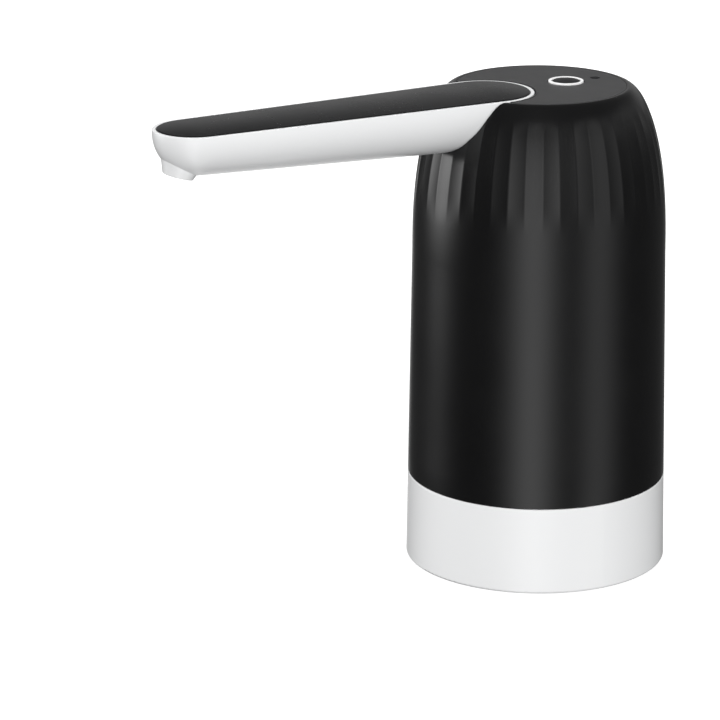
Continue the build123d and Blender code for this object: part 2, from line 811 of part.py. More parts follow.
# Pump housing: tube with lugs at its foot and the motor plate on top
housing_inner = pump_radius - housing_wall
lug_height = 5.6
boss_size = 3.0
motor_screw_circle = 8.0
motor_screw_radius = 1.2
with BuildPart() as pump_housing:
    add(lug_plate(housing_seat, lug_height))
    with BuildSketch(Plane.XY.offset(housing_seat)):
        Circle(pump_radius)
    extrude(amount=housing_height)
    with BuildSketch(Plane.XY.offset(housing_seat)):
        Circle(housing_inner)
    extrude(amount=housing_height - housing_top, mode=Mode.SUBTRACT)
    with BuildSketch(Plane.XY.offset(motor_seat - housing_top)):
        Circle(boss_size + close_fit)
        with PolarLocations(motor_screw_circle, 2):
            Circle(motor_screw_radius + close_fit)
    extrude(amount=housing_top, mode=Mode.SUBTRACT)
pump_housing.part.label = "pump_housing"
export_step(pump_housing.part, "parts/pump_housing.step")

# Pump screws: four long screws up through head, plate and diaphragm into the housing
pump_screw_places = polar_places(pump_radius + lug_reach, lug_count, 45)
pump_screw_length = head_height + plate_height + flange_height + lug_height * 3 / 4
pump_screw_head = 1.9
pump_screw_cap = 1.4
with BuildPart() as pump_screws:
    add(
        pan_screws(
            pump_screw_places,
            pump_seat,
            1,
            pump_screw_radius,
            pump_screw_head,
            pump_screw_cap,
            pump_screw_length,
        )
    )
pump_screws.part.label = "pump_screws"
export_step(pump_screws.part, "parts/pump_screws.step")

# Wobble plate and its pin, on an axis tilted from the motor's
wobble_axis = (0, sin(radians(wobble_tilt)), cos(radians(wobble_tilt)))
wobble_plane = Plane((0, 0, wobble_level), x_dir=(1, 0, 0), z_dir=wobble_axis)
arm_end = 3.2
hub_radius = 2.6
hub_rise = 1.4
pin_radius = 0.95
pin_reach = 7.3
pin_foot = 1.0
with BuildPart() as wobble_plate:
    with BuildSketch(wobble_plane.offset(-wobble_thickness / 2)):
        with BuildLine():
            for x, y in polar_places(chamber_circle, chamber_count, 90):
                CenterArc((x, y), arm_end, 0, 360)
        make_hull()
        with PolarLocations(chamber_circle, chamber_count, start_angle=90):
            Circle(stem_rubber + cup_gap, mode=Mode.SUBTRACT)
    extrude(amount=wobble_thickness)
    with BuildSketch(wobble_plane.offset(wobble_thickness / 2)):
        Circle(hub_radius)
    extrude(amount=hub_rise)
    with BuildSketch(wobble_plane.offset(-pin_foot)):
        Circle(pin_radius + press_fit)
    extrude(amount=pin_reach, mode=Mode.SUBTRACT)
wobble_plate.part.label = "wobble_plate"
export_step(wobble_plate.part, "parts/wobble_plate.step")
with BuildPart() as wobble_pin:
    with BuildSketch(wobble_plane.offset(-pin_foot)):
        Circle(pin_radius)
    extrude(amount=pin_foot + pin_reach)
wobble_pin.part.label = "wobble_pin"
export_step(wobble_pin.part, "parts/wobble_pin.step")

# Pump crank: takes the shaft in its top and the tilted pin in its bottom
crank_radius = 5.4
shaft_radius = 1.0
crank_gap = 0.6
crank_top = motor_seat - housing_top - crank_gap
crank_clear = 3.5
pin_room = 0.5
shaft_clear = 1.3
crank_bottom = wobble_level + crank_clear
shaft_foot = wobble_level + pin_reach + shaft_clear
with BuildPart() as pump_crank:
    with BuildSketch(Plane.XY.offset(crank_bottom)):
        Circle(crank_radius)
    extrude(amount=crank_top - crank_bottom)
    with BuildSketch(wobble_plane.offset(pin_reach / 4)):
        Circle(pin_radius + close_fit)
    extrude(amount=pin_reach * 3 / 4 + pin_room, mode=Mode.SUBTRACT)
    with BuildSketch(Plane.XY.offset(shaft_foot)):
        Circle(shaft_radius + press_fit)
    extrude(amount=crank_top - shaft_foot, mode=Mode.SUBTRACT)
pump_crank.part.label = "pump_crank"
export_step(pump_crank.part, "parts/pump_crank.step")

# Motor can with its front boss
can_wall = 0.8
can_front = 1.0
boss_short = 0.4
boss_drop = housing_top - boss_short
bearing_radius = 2.4
bearing_length = 3.0
can_inner = motor_radius - can_wall
with BuildPart() as motor_can:
    with BuildSketch(Plane.XY.offset(motor_seat)):
        Circle(motor_radius)
    extrude(amount=motor_length)
    with BuildSketch(Plane.XY.offset(motor_seat + can_front)):
        Circle(can_inner)
    extrude(amount=motor_length - can_front, mode=Mode.SUBTRACT)
    with BuildSketch(Plane.XY.offset(motor_seat - boss_drop)):
        Circle(boss_size)
    extrude(amount=boss_drop + can_front)
    with BuildSketch(Plane.XY.offset(motor_seat - boss_drop)):
        Circle(bearing_radius + press_fit)
        with PolarLocations(motor_screw_circle, 2):
            Circle(motor_screw_radius + close_fit)
    extrude(amount=boss_drop + can_front, mode=Mode.SUBTRACT)
motor_can.part.label = "motor_can"
export_step(motor_can.part, "parts/motor_can.step")

# Motor screws through the housing's top plate
motor_screw_places = polar_places(motor_screw_circle, 2, 0)
motor_screw_head = 1.9
motor_screw_cap = 1.2
with BuildPart() as motor_screws:
    add(
        pan_screws(
            motor_screw_places,
            motor_seat - housing_top,
            1,
            motor_screw_radius,
            motor_screw_head,
            motor_screw_cap,
            housing_top + can_front,
        )
    )
motor_screws.part.label = "motor_screws"
export_step(motor_screws.part, "parts/motor_screws.step")

# Motor bearings: a bronze bush at each end of the shaft
plug_depth = 2.5
rear_bearing = motor_top - plug_depth
with BuildPart() as motor_bearings:
    for foot in (motor_seat - boss_drop, rear_bearing):
        with BuildSketch(Plane.XY.offset(foot)):
            Circle(bearing_radius)
            Circle(shaft_radius + close_fit, mode=Mode.SUBTRACT)
        extrude(amount=bearing_length)
motor_bearings.part.label = "motor_bearings"
export_step(motor_bearings.part, "parts/motor_bearings.step")

# Motor magnets: two arcs glued in the can
magnet_thickness = 1.7
magnet_gap = 5.0
magnet_clear = 3.0
magnet_share = 0.66
magnet_foot = motor_seat + can_front + magnet_clear
magnet_length = motor_length * magnet_share
with BuildPart() as motor_magnets:
    with BuildSketch(Plane.XY.offset(magnet_foot)):
        Circle(can_inner - press_fit)
        Circle(can_inner - magnet_thickness, mode=Mode.SUBTRACT)
        Rectangle(motor_diameter, magnet_gap, mode=Mode.SUBTRACT)
    extrude(amount=magnet_length)
motor_magnets.part.label = "motor_magnets"
export_step(motor_magnets.part, "parts/motor_magnets.step")

# Motor shaft
with BuildPart() as motor_shaft:
    with BuildSketch(Plane.XY.offset(shaft_foot + press_fit)):
        Circle(shaft_radius)
    extrude(amount=motor_top + end_flange / 4 - shaft_foot - press_fit)
motor_shaft.part.label = "motor_shaft"
export_step(motor_shaft.part, "parts/motor_shaft.step")

# Armature core: three poles with curved shoes
air_gap = 0.5
core_radius = can_inner - magnet_thickness - air_gap
core_inset = 2.0
core_foot = magnet_foot + core_inset
core_length = magnet_length - core_inset * 2
pole_width = 2.6
shoe_thickness = 1.6
hub_core = 2.8
slot_width = 2.4
with BuildPart() as armature_core:
    with BuildSketch(Plane.XY.offset(core_foot)):
        Circle(core_radius)
        Circle(core_radius - shoe_thickness, mode=Mode.SUBTRACT)
        with PolarLocations(core_radius, 3, start_angle=30):
            Rectangle(shoe_thickness * 3, slot_width, mode=Mode.SUBTRACT)
        Circle(hub_core)
        with PolarLocations(core_radius / 2, 3, start_angle=90):
            Rectangle(core_radius - shoe_thickness / 2, pole_width)
        Circle(shaft_radius + press_fit, mode=Mode.SUBTRACT)
    extrude(amount=core_length)
armature_core.part.label = "armature_core"
export_step(armature_core.part, "parts/armature_core.step")

# Armature windings: a coil round each pole
coil_width = 5.6
coil_overhang = 1.4
coil_gap = 0.4
coil_inner = hub_core + coil_gap
coil_outer = sqrt((core_radius - shoe_thickness - air_gap / 2) ** 2 - (coil_width / 2) ** 2)
with BuildPart() as armature_windings:
    with BuildSketch(Plane.XY.offset(core_foot - coil_overhang)):
        with PolarLocations((coil_inner + coil_outer) / 2, 3, start_angle=90):
            Rectangle(coil_outer - coil_inner, coil_width)
    extrude(amount=core_length + coil_overhang * 2)
    with BuildSketch(Plane.XY.offset(core_foot - press_fit)):
        with PolarLocations(core_radius / 2, 3, start_angle=90):
            Rectangle(core_radius, pole_width + press_fit * 2)
    extrude(amount=core_length + press_fit * 2, mode=Mode.SUBTRACT)
armature_windings.part.label = "armature_windings"
export_step(armature_windings.part, "parts/armature_windings.step")

# Commutator on the shaft
commutator_radius = 3.0
commutator_foot = core_foot + core_length + coil_overhang + coil_gap
commutator_top = rear_bearing - coil_gap
with BuildPart() as commutator:
    with BuildSketch(Plane.XY.offset(commutator_foot)):
        Circle(commutator_radius)
        Circle(shaft_radius + press_fit, mode=Mode.SUBTRACT)
    extrude(amount=commutator_top - commutator_foot)
commutator.part.label = "commutator"
export_step(commutator.part, "parts/commutator.step")

# Motor brushes: an angled strip on each side of the commutator
brush_height = 1.5
brush_width = 2.0
brush_end = 6.0
brush_strip = 0.8
with BuildPart() as motor_brushes:
    for side in (-1, 1):
        arm = brush_end - commutator_radius - close_fit
        with BuildSketch(Plane.XY.offset(rear_bearing - brush_height * 2)):
            with Locations((0, side * (brush_end - arm / 2))):
                Rectangle(brush_width, arm)
        extrude(amount=brush_height)
        with BuildSketch(Plane.XY.offset(rear_bearing - brush_height * 2)):
            with Locations((0, side * (brush_end - brush_strip / 2))):
                Rectangle(brush_width, brush_strip)
        extrude(amount=brush_height * 2)
motor_brushes.part.label = "motor_brushes"
export_step(motor_brushes.part, "parts/motor_brushes.step")

# Motor end cap with the rear bearing's seat and the terminal slots
terminal_out = 7.5
terminal_width = 2.2
terminal_thickness = 0.5
terminal_rise = 3.7
with BuildPart() as motor_end_cap:
    with BuildSketch(Plane.XY.offset(rear_bearing)):
        Circle(can_inner - close_fit)
    extrude(amount=plug_depth)
    with BuildSketch(Plane.XY.offset(motor_top)):
        Circle(motor_radius)
    extrude(amount=end_flange)
    with BuildSketch(Plane.XY.offset(rear_bearing)):
        Circle(bearing_radius + press_fit)
    extrude(amount=plug_depth + end_flange / 2, mode=Mode.SUBTRACT)
    with BuildSketch(Plane.XY.offset(motor_top)):
        with Locations((terminal_out, 0), (-terminal_out, 0)):
            Rectangle(terminal_width + close_fit, terminal_thickness + close_fit)
    extrude(amount=end_flange, mode=Mode.SUBTRACT)
motor_end_cap.part.label = "motor_end_cap"
export_step(motor_end_cap.part, "parts/motor_end_cap.step")

# Motor terminals
terminal_top = bracket_seat + terminal_rise
with BuildPart() as motor_terminals:
    with BuildSketch(Plane.XY.offset(motor_top)):
        with Locations((terminal_out, 0), (-terminal_out, 0)):
            Rectangle(terminal_width, terminal_thickness)
    extrude(amount=end_flange + terminal_rise)
motor_terminals.part.label = "motor_terminals"
export_step(motor_terminals.part, "parts/motor_terminals.step")

# Inner frame: floor, pump pedestal, cell trough, two uprights and screw posts
pedestal_wall = 2.4
pedestal_inset = 2.2
pedestal_radius = pump_radius + lug_reach - pedestal_inset
upright_gap = 2.25
upright_thickness = 3.5
upright_depth = 14.0
upright_mid = max(pump_radius, motor_radius) + upright_gap + upright_thickness / 2
trough_wall = 1.2
trough_gap = 0.15
trough_height = 28.0
post_radius = 3.0
post_height = 8.0
bracket_screw_radius = 1.0
with BuildPart() as inner_frame:
    with BuildSketch(Plane.XY.offset(deck_top)):
        Circle(spigot_radius - slip_fit * 4)
        Circle(inlet_flange_radius + slip_fit * 4, mode=Mode.SUBTRACT)
    extrude(amount=frame_floor)
    with BuildSketch(Plane.XY.offset(floor_top)):
        Circle(pedestal_radius)
        Circle(pedestal_radius - pedestal_wall, mode=Mode.SUBTRACT)
    extrude(amount=tube_room)
    with BuildSketch(Plane.XY.offset(floor_top)):
        with Locations((0, cell_back)):
            Circle(cell_radius + trough_gap + trough_wall)
            Circle(cell_radius + trough_gap, mode=Mode.SUBTRACT)
            Rectangle(cell_diameter * 2, cell_diameter, align=(Align.CENTER, Align.MAX), mode=Mode.SUBTRACT)
    extrude(amount=trough_height)
    with BuildSketch(Plane.XY.offset(floor_top)):
        with Locations((upright_mid, 0), (-upright_mid, 0)):
            Rectangle(upright_thickness, upright_depth)
    extrude(amount=bracket_seat - floor_top)
    with BuildSketch(Plane.XY.offset(floor_top)):
        with Locations(*frame_screw_places):
            Circle(post_radius)
    extrude(amount=post_height)
    with BuildSketch(Plane.XY.offset(deck_top)):
        with Locations(*frame_screw_places):
            Circle(frame_screw_radius + close_fit)
    extrude(amount=frame_floor + post_height * 3 / 4, mode=Mode.SUBTRACT)
    with BuildSketch(Plane.XY.offset(bracket_seat)):
        with Locations((upright_mid, 0), (-upright_mid, 0)):
            Circle(bracket_screw_radius + close_fit)
    extrude(amount=-upright_depth / 2, mode=Mode.SUBTRACT)
inner_frame.part.label = "inner_frame"
export_step(inner_frame.part, "parts/inner_frame.step")

# Frame screws up through the deck into the posts
with BuildPart() as frame_screws:
    add(
        pan_screws(
            frame_screw_places,
            deck_under,
            1,
            frame_screw_radius,
            frame_screw_radius * 2,
            frame_screw_radius * 1.4,
            deck_thickness + frame_floor + post_height / 2,
        )
    )
frame_screws.part.label = "frame_screws"
export_step(frame_screws.part, "parts/frame_screws.step")

# Motor bracket across the uprights, holding the motor down
bracket_window = 5.5
with BuildPart() as motor_bracket:
    with BuildSketch(Plane.XY.offset(bracket_seat)):
        Rectangle(upright_mid * 2 + upright_thickness, upright_depth)
        Circle(bracket_window, mode=Mode.SUBTRACT)
        with Locations((terminal_out, 0), (-terminal_out, 0)):
            Rectangle(terminal_width * 2, terminal_thickness * 4, mode=Mode.SUBTRACT)
        with Locations((upright_mid, 0), (-upright_mid, 0)):
            Circle(bracket_screw_radius + close_fit, mode=Mode.SUBTRACT)
    extrude(amount=bracket_thickness)
motor_bracket.part.label = "motor_bracket"
export_step(motor_bracket.part, "parts/motor_bracket.step")

# Bracket screws down into the uprights
bracket_screw_places = ((upright_mid, 0), (-upright_mid, 0))
with BuildPart() as bracket_screws:
    add(
        pan_screws(
            bracket_screw_places,
            bracket_top,
            -1,
            bracket_screw_radius,
            bracket_screw_radius * 1.9,
            bracket_screw_radius * 1.3,
            bracket_thickness + upright_depth / 3,
        )
    )
bracket_screws.part.label = "bracket_screws"
export_step(bracket_screws.part, "parts/bracket_screws.step")

# Cell tabs: one strip under the cell and one over its positive end
tab_thickness = 0.4
tab_width = 4.0
tab_tail = 2.0
tab_shift = 2.3
tab_reach = cell_radius + trough_wall + tab_tail
tab_front = cell_back - tab_shift
cell_foot = floor_top + tab_thickness
cell_top = cell_foot + cell_length
with BuildPart() as battery_tabs:
    with BuildSketch(Plane.XY.offset(floor_top)):
        with Locations((-tab_width, tab_front)):
            Rectangle(tab_reach + tab_width, tab_width, align=(Align.MIN, Align.CENTER))
    extrude(amount=tab_thickness)
    with BuildSketch(Plane.XY.offset(cell_top)):
        with Locations((0, cell_back)):
            Rectangle(tab_width * 2, tab_width)
    extrude(amount=tab_thickness)
battery_tabs.part.label = "battery_tabs"
export_step(battery_tabs.part, "parts/battery_tabs.step")

# Rechargeable cell with its raised positive end
nub_radius = 4.0
nub_height = 1.2
cell_edge = 0.8
with BuildPart() as battery_cell:
    with BuildSketch(Plane.XY.offset(cell_foot)):
        with Locations((0, cell_back)):
            Circle(cell_radius)
    extrude(amount=cell_length - nub_height)
    fillet(battery_cell.edges().filter_by(GeomType.CIRCLE), cell_edge)
    with BuildSketch(Plane.XY.offset(cell_top - nub_height)):
        with Locations((0, cell_back)):
            Circle(nub_radius)
    extrude(amount=nub_height)
battery_cell.part.label = "battery_cell"
export_step(battery_cell.part, "parts/battery_cell.step")

# Outlet tube from the pump up to the spout's socket
with BuildPart() as outlet_tube:
    with BuildSketch(Plane.XY.offset(valve_seat)):
        with Locations((0, -spout_root)):
            Circle(hose_radius)
            Circle(nipple_radius + close_fit, mode=Mode.SUBTRACT)
    extrude(amount=socket_foot - valve_seat)
outlet_tube.part.label = "outlet_tube"
export_step(outlet_tube.part, "parts/outlet_tube.step")

# Control board under the cap, rounded at the back to follow the case
board_half = 14.5
board_gap = 1.4
board_margin = 1.0
board_radius = inner_radius(board_top) - board_gap
board_front = root_half + seat_gap + pocket_wall - spout_root + board_margin
with BuildPart() as control_board:
    with BuildSketch(Plane.XY.offset(board_under)):
        Circle(board_radius)
        with Locations((0, board_front)):
            Rectangle(
                board_half * 2, board_radius * 2, align=(Align.CENTER, Align.MIN), mode=Mode.INTERSECT
            )
        with Locations(*boss_places):
            Circle(board_screw_radius + close_fit, mode=Mode.SUBTRACT)
    extrude(amount=board_thickness)
control_board.part.label = "control_board"
export_step(control_board.part, "parts/control_board.step")

# Board screws up into the cap's bosses
with BuildPart() as board_screws:
    add(
        pan_screws(
            boss_places,
            board_under,
            1,
            board_screw_radius,
            board_screw_radius * 2,
            board_screw_radius * 1.4,
            board_thickness + boss_radius * 2,
        )
    )
board_screws.part.label = "board_screws"
export_step(board_screws.part, "parts/board_screws.step")

# Push switch under the button
switch_width = 6.0
plunger_radius = 1.75
plunger_depth = button_travel * 1.4
plunger_room = button_travel * 1.6
with BuildPart() as tact_switch:
    with BuildSketch(Plane.XY.offset(board_top)):
        with Locations((0, button_back)):
            Rectangle(switch_width, switch_width)
    extrude(amount=switch_height)
    with BuildSketch(Plane.XY.offset(switch_top)):
        with Locations((0, button_back)):
            Circle(plunger_radius + slip_fit)
    extrude(amount=-(plunger_depth + plunger_room), mode=Mode.SUBTRACT)
tact_switch.part.label = "tact_switch"
export_step(tact_switch.part, "parts/tact_switch.step")

# Switch plunger, which moves with the button
with BuildPart() as switch_plunger:
    with BuildSketch(Plane.XY.offset(switch_top - plunger_depth)):
        with Locations((0, button_back)):
            Circle(plunger_radius)
    extrude(amount=plunger_depth + plunger_rise)
switch_plunger.part.label = "switch_plunger"
export_step(switch_plunger.part, "parts/switch_plunger.step")

# Indicator light under the lens
led_length = 2.0
led_width = 1.4
with BuildPart() as indicator_led:
    with BuildSketch(Plane.XY.offset(board_top)):
        with Locations((0, lens_back)):
            Rectangle(led_length, led_width)
    extrude(amount=led_height)
indicator_led.part.label = "indicator_led"
export_step(indicator_led.part, "parts/indicator_led.step")

# Chips on the board: controller, charger and motor driver
chip_sizes = ((5.0, 4.0, 1.6), (3.0, 3.0, 1.2), (4.4, 3.2, 1.4))
chip_places = ((-8.6, 14.4), (8.4, 13.6), (8.0, 20.0))
with BuildPart() as board_chips:
    for (length, width, height), place in zip(chip_sizes, chip_places):
        with BuildSketch(Plane.XY.offset(board_top)):
            with Locations(place):
                Rectangle(length, width)
        extrude(amount=height)
board_chips.part.label = "board_chips"
export_step(board_chips.part, "parts/board_chips.step")

# Charging socket on the underside of the board, open at the back of the case
usb_width = 8.94
usb_length = 7.4
usb_skin = 0.35
usb_recess = 0.6
tongue_width = 6.7
tongue_height = 0.7
tongue_length = 4.6
usb_mouth = body_radius(port_level) - usb_recess
usb_plane = Plane((0, usb_mouth, port_level), x_dir=(1, 0, 0), z_dir=(0, -1, 0))
with BuildPart() as usb_socket:
    with BuildSketch(usb_plane):
        SlotOverall(usb_width, usb_height)
    extrude(amount=usb_length)
    with BuildSketch(usb_plane):
        SlotOverall(usb_width - usb_skin * 2, usb_height - usb_skin * 2)
    extrude(amount=usb_length - usb_skin * 3, mode=Mode.SUBTRACT)
    with BuildSketch(usb_plane.offset(usb_length - usb_skin * 3)):
        Rectangle(tongue_width, tongue_height)
    extrude(amount=-tongue_length)
usb_socket.part.label = "usb_socket"
export_step(usb_socket.part, "parts/usb_socket.step")

# Motor leads from the terminals to the board
lead_radius = 0.65
lead_bend = 3.0
lead_foot = 6.0
lead_mid = (terminal_top + board_under) / 2
with BuildPart() as motor_leads:
    for side in (-1, 1):
        add(
            lead(
                (
                    (side * terminal_out, 0, terminal_top),
                    (side * terminal_out, 0, lead_mid - lead_bend / 2),
                    (side * lead_foot, lead_bend, lead_mid + lead_bend / 2),
                    (side * lead_foot, lead_bend, board_under),
                ),
                lead_bend,
                lead_radius,
            )
        )
motor_leads.part.label = "motor_leads"
export_step(motor_leads.part, "parts/motor_leads.step")

# Battery leads from the tabs to the board
lead_side = tab_reach - lead_radius * 1.5
lead_land = 12.0
with BuildPart() as battery_leads:
    add(
        lead(
            (
                (lead_side, tab_front, cell_foot),
                (lead_side, tab_front, lead_mid - lead_bend),
                (lead_land, tab_front - lead_bend, lead_mid + lead_bend),
                (lead_land, tab_front - lead_bend, board_under),
            ),
            lead_bend,
            lead_radius,
        )
    )
    add(
        lead(
            (
                (-lead_bend, cell_back, cell_top + tab_thickness),
                (-lead_bend, cell_back, lead_mid - lead_bend),
                (-lead_bend * 3, tab_front - lead_bend, lead_mid + lead_bend),
                (-lead_bend * 3, tab_front - lead_bend, board_under),
            ),
            lead_bend,
            lead_radius,
        )
    )
battery_leads.part.label = "battery_leads"
export_step(battery_leads.part, "parts/battery_leads.step")
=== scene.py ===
from math import cos, pi, radians, sin

import bmesh
import bpy
import numpy as np
from mathutils import Matrix, Vector


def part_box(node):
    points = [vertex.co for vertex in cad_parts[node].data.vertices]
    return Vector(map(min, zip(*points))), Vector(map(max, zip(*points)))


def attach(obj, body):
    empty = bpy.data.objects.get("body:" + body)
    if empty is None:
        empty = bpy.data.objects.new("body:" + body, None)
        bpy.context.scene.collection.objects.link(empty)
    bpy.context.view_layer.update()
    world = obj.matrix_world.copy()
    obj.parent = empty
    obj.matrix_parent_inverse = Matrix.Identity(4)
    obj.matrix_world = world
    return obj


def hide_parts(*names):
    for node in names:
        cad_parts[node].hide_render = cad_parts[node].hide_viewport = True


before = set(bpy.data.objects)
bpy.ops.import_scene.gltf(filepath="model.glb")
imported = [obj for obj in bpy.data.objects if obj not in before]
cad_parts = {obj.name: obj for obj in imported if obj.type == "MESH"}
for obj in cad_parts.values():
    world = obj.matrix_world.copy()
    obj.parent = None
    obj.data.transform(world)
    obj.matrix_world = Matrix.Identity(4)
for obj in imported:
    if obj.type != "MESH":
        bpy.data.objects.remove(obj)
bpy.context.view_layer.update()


# Base cup. One white ABS moulding that stands over the bottle's neck: outer skirt, neck
# collar, ribs between them and the deck that closes the case. It is polished outside.
def feed(tree, socket, value):
    """Links a socket to an input, or sets the input's own value."""
    if isinstance(value, bpy.types.NodeSocket):
        tree.links.new(value, socket)
    else:
        socket.default_value = value


def put(tree, kind, settings=None, **inputs):
    """A shader node with its settings, and with its inputs given by name."""
    node = tree.nodes.new(kind)
    for name, value in (settings or {}).items():
        setattr(node, name, value)
    for name, value in inputs.items():
        feed(tree, node.inputs[name.replace("_", " ")], value)
    return node


def between(tree, share, low, high):
    """The colour that lies between low and high at the given share."""
    mix = put(tree, "ShaderNodeMix", {"data_type": "RGBA"})
    for socket, value in zip((mix.inputs[0], mix.inputs[6], mix.inputs[7]), (share, low, high)):
        feed(tree, socket, value)
    return mix.outputs[2]


def new_group(name, inputs, outputs):
    """An empty shader node group with named sockets, and its input and output nodes."""
    group = bpy.data.node_groups.new(name, "ShaderNodeTree")
    for socket, kind in inputs.items():
        group.interface.new_socket(socket, in_out="INPUT", socket_type="NodeSocket" + kind)
    for socket, kind in outputs.items():
        group.interface.new_socket(socket, in_out="OUTPUT", socket_type="NodeSocket" + kind)
    return group, group.nodes.new("NodeGroupInput"), group.nodes.new("NodeGroupOutput")


def close_group(group, values, results, share, relief):
    """Ends a group: its tone and its roughness lie between their low and high values at the share,
    and the relief goes out as it is."""
    rough = put(
        group,
        "ShaderNodeMapRange",
        Value=share,
        To_Min=values.outputs["Rough Low"],
        To_Max=values.outputs["Rough High"],
    )
    tone = between(group, share, values.outputs["Tone Low"], values.outputs["Tone High"])
    group.links.new(tone, results.inputs["Tone"])
    group.links.new(rough.outputs["Result"], results.inputs["Rough"])
    group.links.new(relief, results.inputs["Relief"])


grain, grain_in, grain_out = new_group(
    "moulded_grain",
    {
        "Tone Low": "Color",
        "Tone High": "Color",
        "Cloud Scale": "Float",
        "Rough Low": "Float",
        "Rough High": "Float",
        "Pit Scale": "Float",
    },
    {"Tone": "Color", "Rough": "Float", "Relief": "Float"},
)
grain_place = put(grain, "ShaderNodeTexCoord").outputs["Object"]
grain_cloud = put(
    grain,
    "ShaderNodeTexNoise",
    Vector=grain_place,
    Scale=grain_in.outputs["Cloud Scale"],
    Detail=4.0,
    Roughness=0.6,
)
grain_share = put(
    grain, "ShaderNodeMapRange", Value=grain_cloud.outputs["Fac"], From_Min=0.32, From_Max=0.68
)
grain_pits = put(
    grain,
    "ShaderNodeTexNoise",
    Vector=grain_place,
    Scale=grain_in.outputs["Pit Scale"],
    Detail=2.0,
    Roughness=0.5,
)
close_group(grain, grain_in, grain_out, grain_share.outputs["Result"], grain_pits.outputs["Fac"])
grain_bump = 0.35


def patterned(name, group, low, high, rough, bump, depth, values, shader):
    """A material whose tone, gloss and relief come from a group; the shader's other sockets are
    set directly."""
    material = bpy.data.materials.new(name)
    material.use_nodes = True
    tree = material.node_tree
    surface = tree.nodes["Principled BSDF"]
    pattern = put(
        tree,
        "ShaderNodeGroup",
        {"node_tree": group},
        Tone_Low=(*low, 1.0),
        Tone_High=(*high, 1.0),
        Rough_Low=rough[0],
        Rough_High=rough[1],
        **values,
    )
    relief = put(
        tree, "ShaderNodeBump", Height=pattern.outputs["Relief"], Strength=bump, Distance=depth
    )
    tree.links.new(pattern.outputs["Tone"], surface.inputs["Base Color"])
    tree.links.new(pattern.outputs["Rough"], surface.inputs["Roughness"])
    tree.links.new(relief.outputs["Normal"], surface.inputs["Normal"])
    for socket, value in shader.items():
        surface.inputs[socket.replace("_", " ")].default_value = value
    return material


def moulded(name, low, high, rough, cloud, pits, depth, **shader):
    """Moulded plastic or rubber: cloudy tone and gloss, and a fine grain from the mould."""
    values = {"Cloud_Scale": cloud, "Pit_Scale": pits}
    return patterned(name, grain, low, high, rough, grain_bump, depth, values, shader)


def coat(mesh, material):
    """Gives a mesh its one material."""
    mesh.materials.clear()
    mesh.materials.append(material)


def finish_node(material, *names):
    """Gives CAD nodes their material."""
    for name in names:
        coat(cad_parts[name].data, material)


white_abs = moulded(
    "white_abs",
    low=(0.795, 0.80, 0.805),
    high=(0.805, 0.81, 0.815),
    rough=(0.20, 0.24),
    cloud=40.0,
    pits=2600.0,
    depth=0.00002,
)
finish_node(white_abs, "base_cup")

# Inlet fitting and inner frame. A natural nylon hose nipple with barbs goes through the deck, and
# a grey ABS frame that stands on the deck carries pump, motor and cell. Three zinc-plated screws
# with cross recesses hold the frame from below.
crease = radians(35)
merge_distance = 1e-7
lathe_columns = 64


def shade(mesh):
    """Smooth shading, with a hard edge where two faces meet at more than the crease."""
    mesh.shade_smooth()
    mesh.set_sharp_from_angle(angle=crease)


def skin(name, grids, round_rows=False):
    """A skin over grids of points. Columns close on themselves, and rows too if asked; points that
    fall together are merged and the faces turned outwards."""
    points = np.concatenate([grid.reshape(-1, 3) for grid in grids])
    faces = []
    start = 0
    for grid in grids:
        rows, columns = grid.shape[:2]
        row = columns * np.arange(rows if round_rows else rows - 1)[:, None]
        next_row = (row + columns) % (rows * columns)
        column = np.arange(columns)[None, :]
        next_column = (column + 1) % columns
        corners = [row + column, row + next_column, next_row + next_column, next_row + column]
        faces.append(start + np.stack(corners, -1).reshape(-1, 4))
        start += rows * columns
    mesh = bpy.data.meshes.new(name)
    mesh.from_pydata(points.tolist(), [], np.concatenate(faces).tolist())
    shape = bmesh.new()
    shape.from_mesh(mesh)
    bmesh.ops.remove_doubles(shape, verts=shape.verts, dist=merge_distance)
    bmesh.ops.dissolve_degenerate(shape, edges=shape.edges, dist=merge_distance)
    bmesh.ops.recalc_face_normals(shape, faces=shape.faces)
    shape.to_mesh(mesh)
    shape.free()
    shade(mesh)
    piece = bpy.data.objects.new(name, mesh)
    bpy.context.scene.collection.objects.link(piece)
    return piece


def lathe(profile):
    """Rings of a profile turned about the upright axis: each row is one point of the profile, its
    radius and then its height."""
    turn = np.linspace(0, 2 * pi, lathe_columns, endpoint=False)
    radius, level = np.array(profile).T[..., None]
    return np.stack([radius * np.cos(turn), radius * np.sin(turn), level + 0 * turn], -1)


def place(piece, body, material):
    """Gives a new piece its material and the body it rides on."""
    coat(piece.data, material)
    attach(piece, body)


def smooth_step(share):
    """Rises smoothly from 0 to 1 as the share goes from 0 to 1."""
    share = np.clip(share, 0, 1)
    return share * share * (3 - 2 * share)


natural_nylon = moulded(
    "natural_nylon",
    low=(0.62, 0.61, 0.57),
    high=(0.70, 0.69, 0.65),
    rough=(0.42, 0.55),
    cloud=90.0,
    pits=1500.0,
    depth=0.00004,
)
grey_abs = moulded(
    "grey_abs",
    low=(0.16, 0.165, 0.17),
    high=(0.20, 0.205, 0.21),
    rough=(0.45, 0.6),
    cloud=70.0,
    pits=1400.0,
    depth=0.00004,
)
finish_node(natural_nylon, "inlet_fitting")
finish_node(grey_abs, "inner_frame")

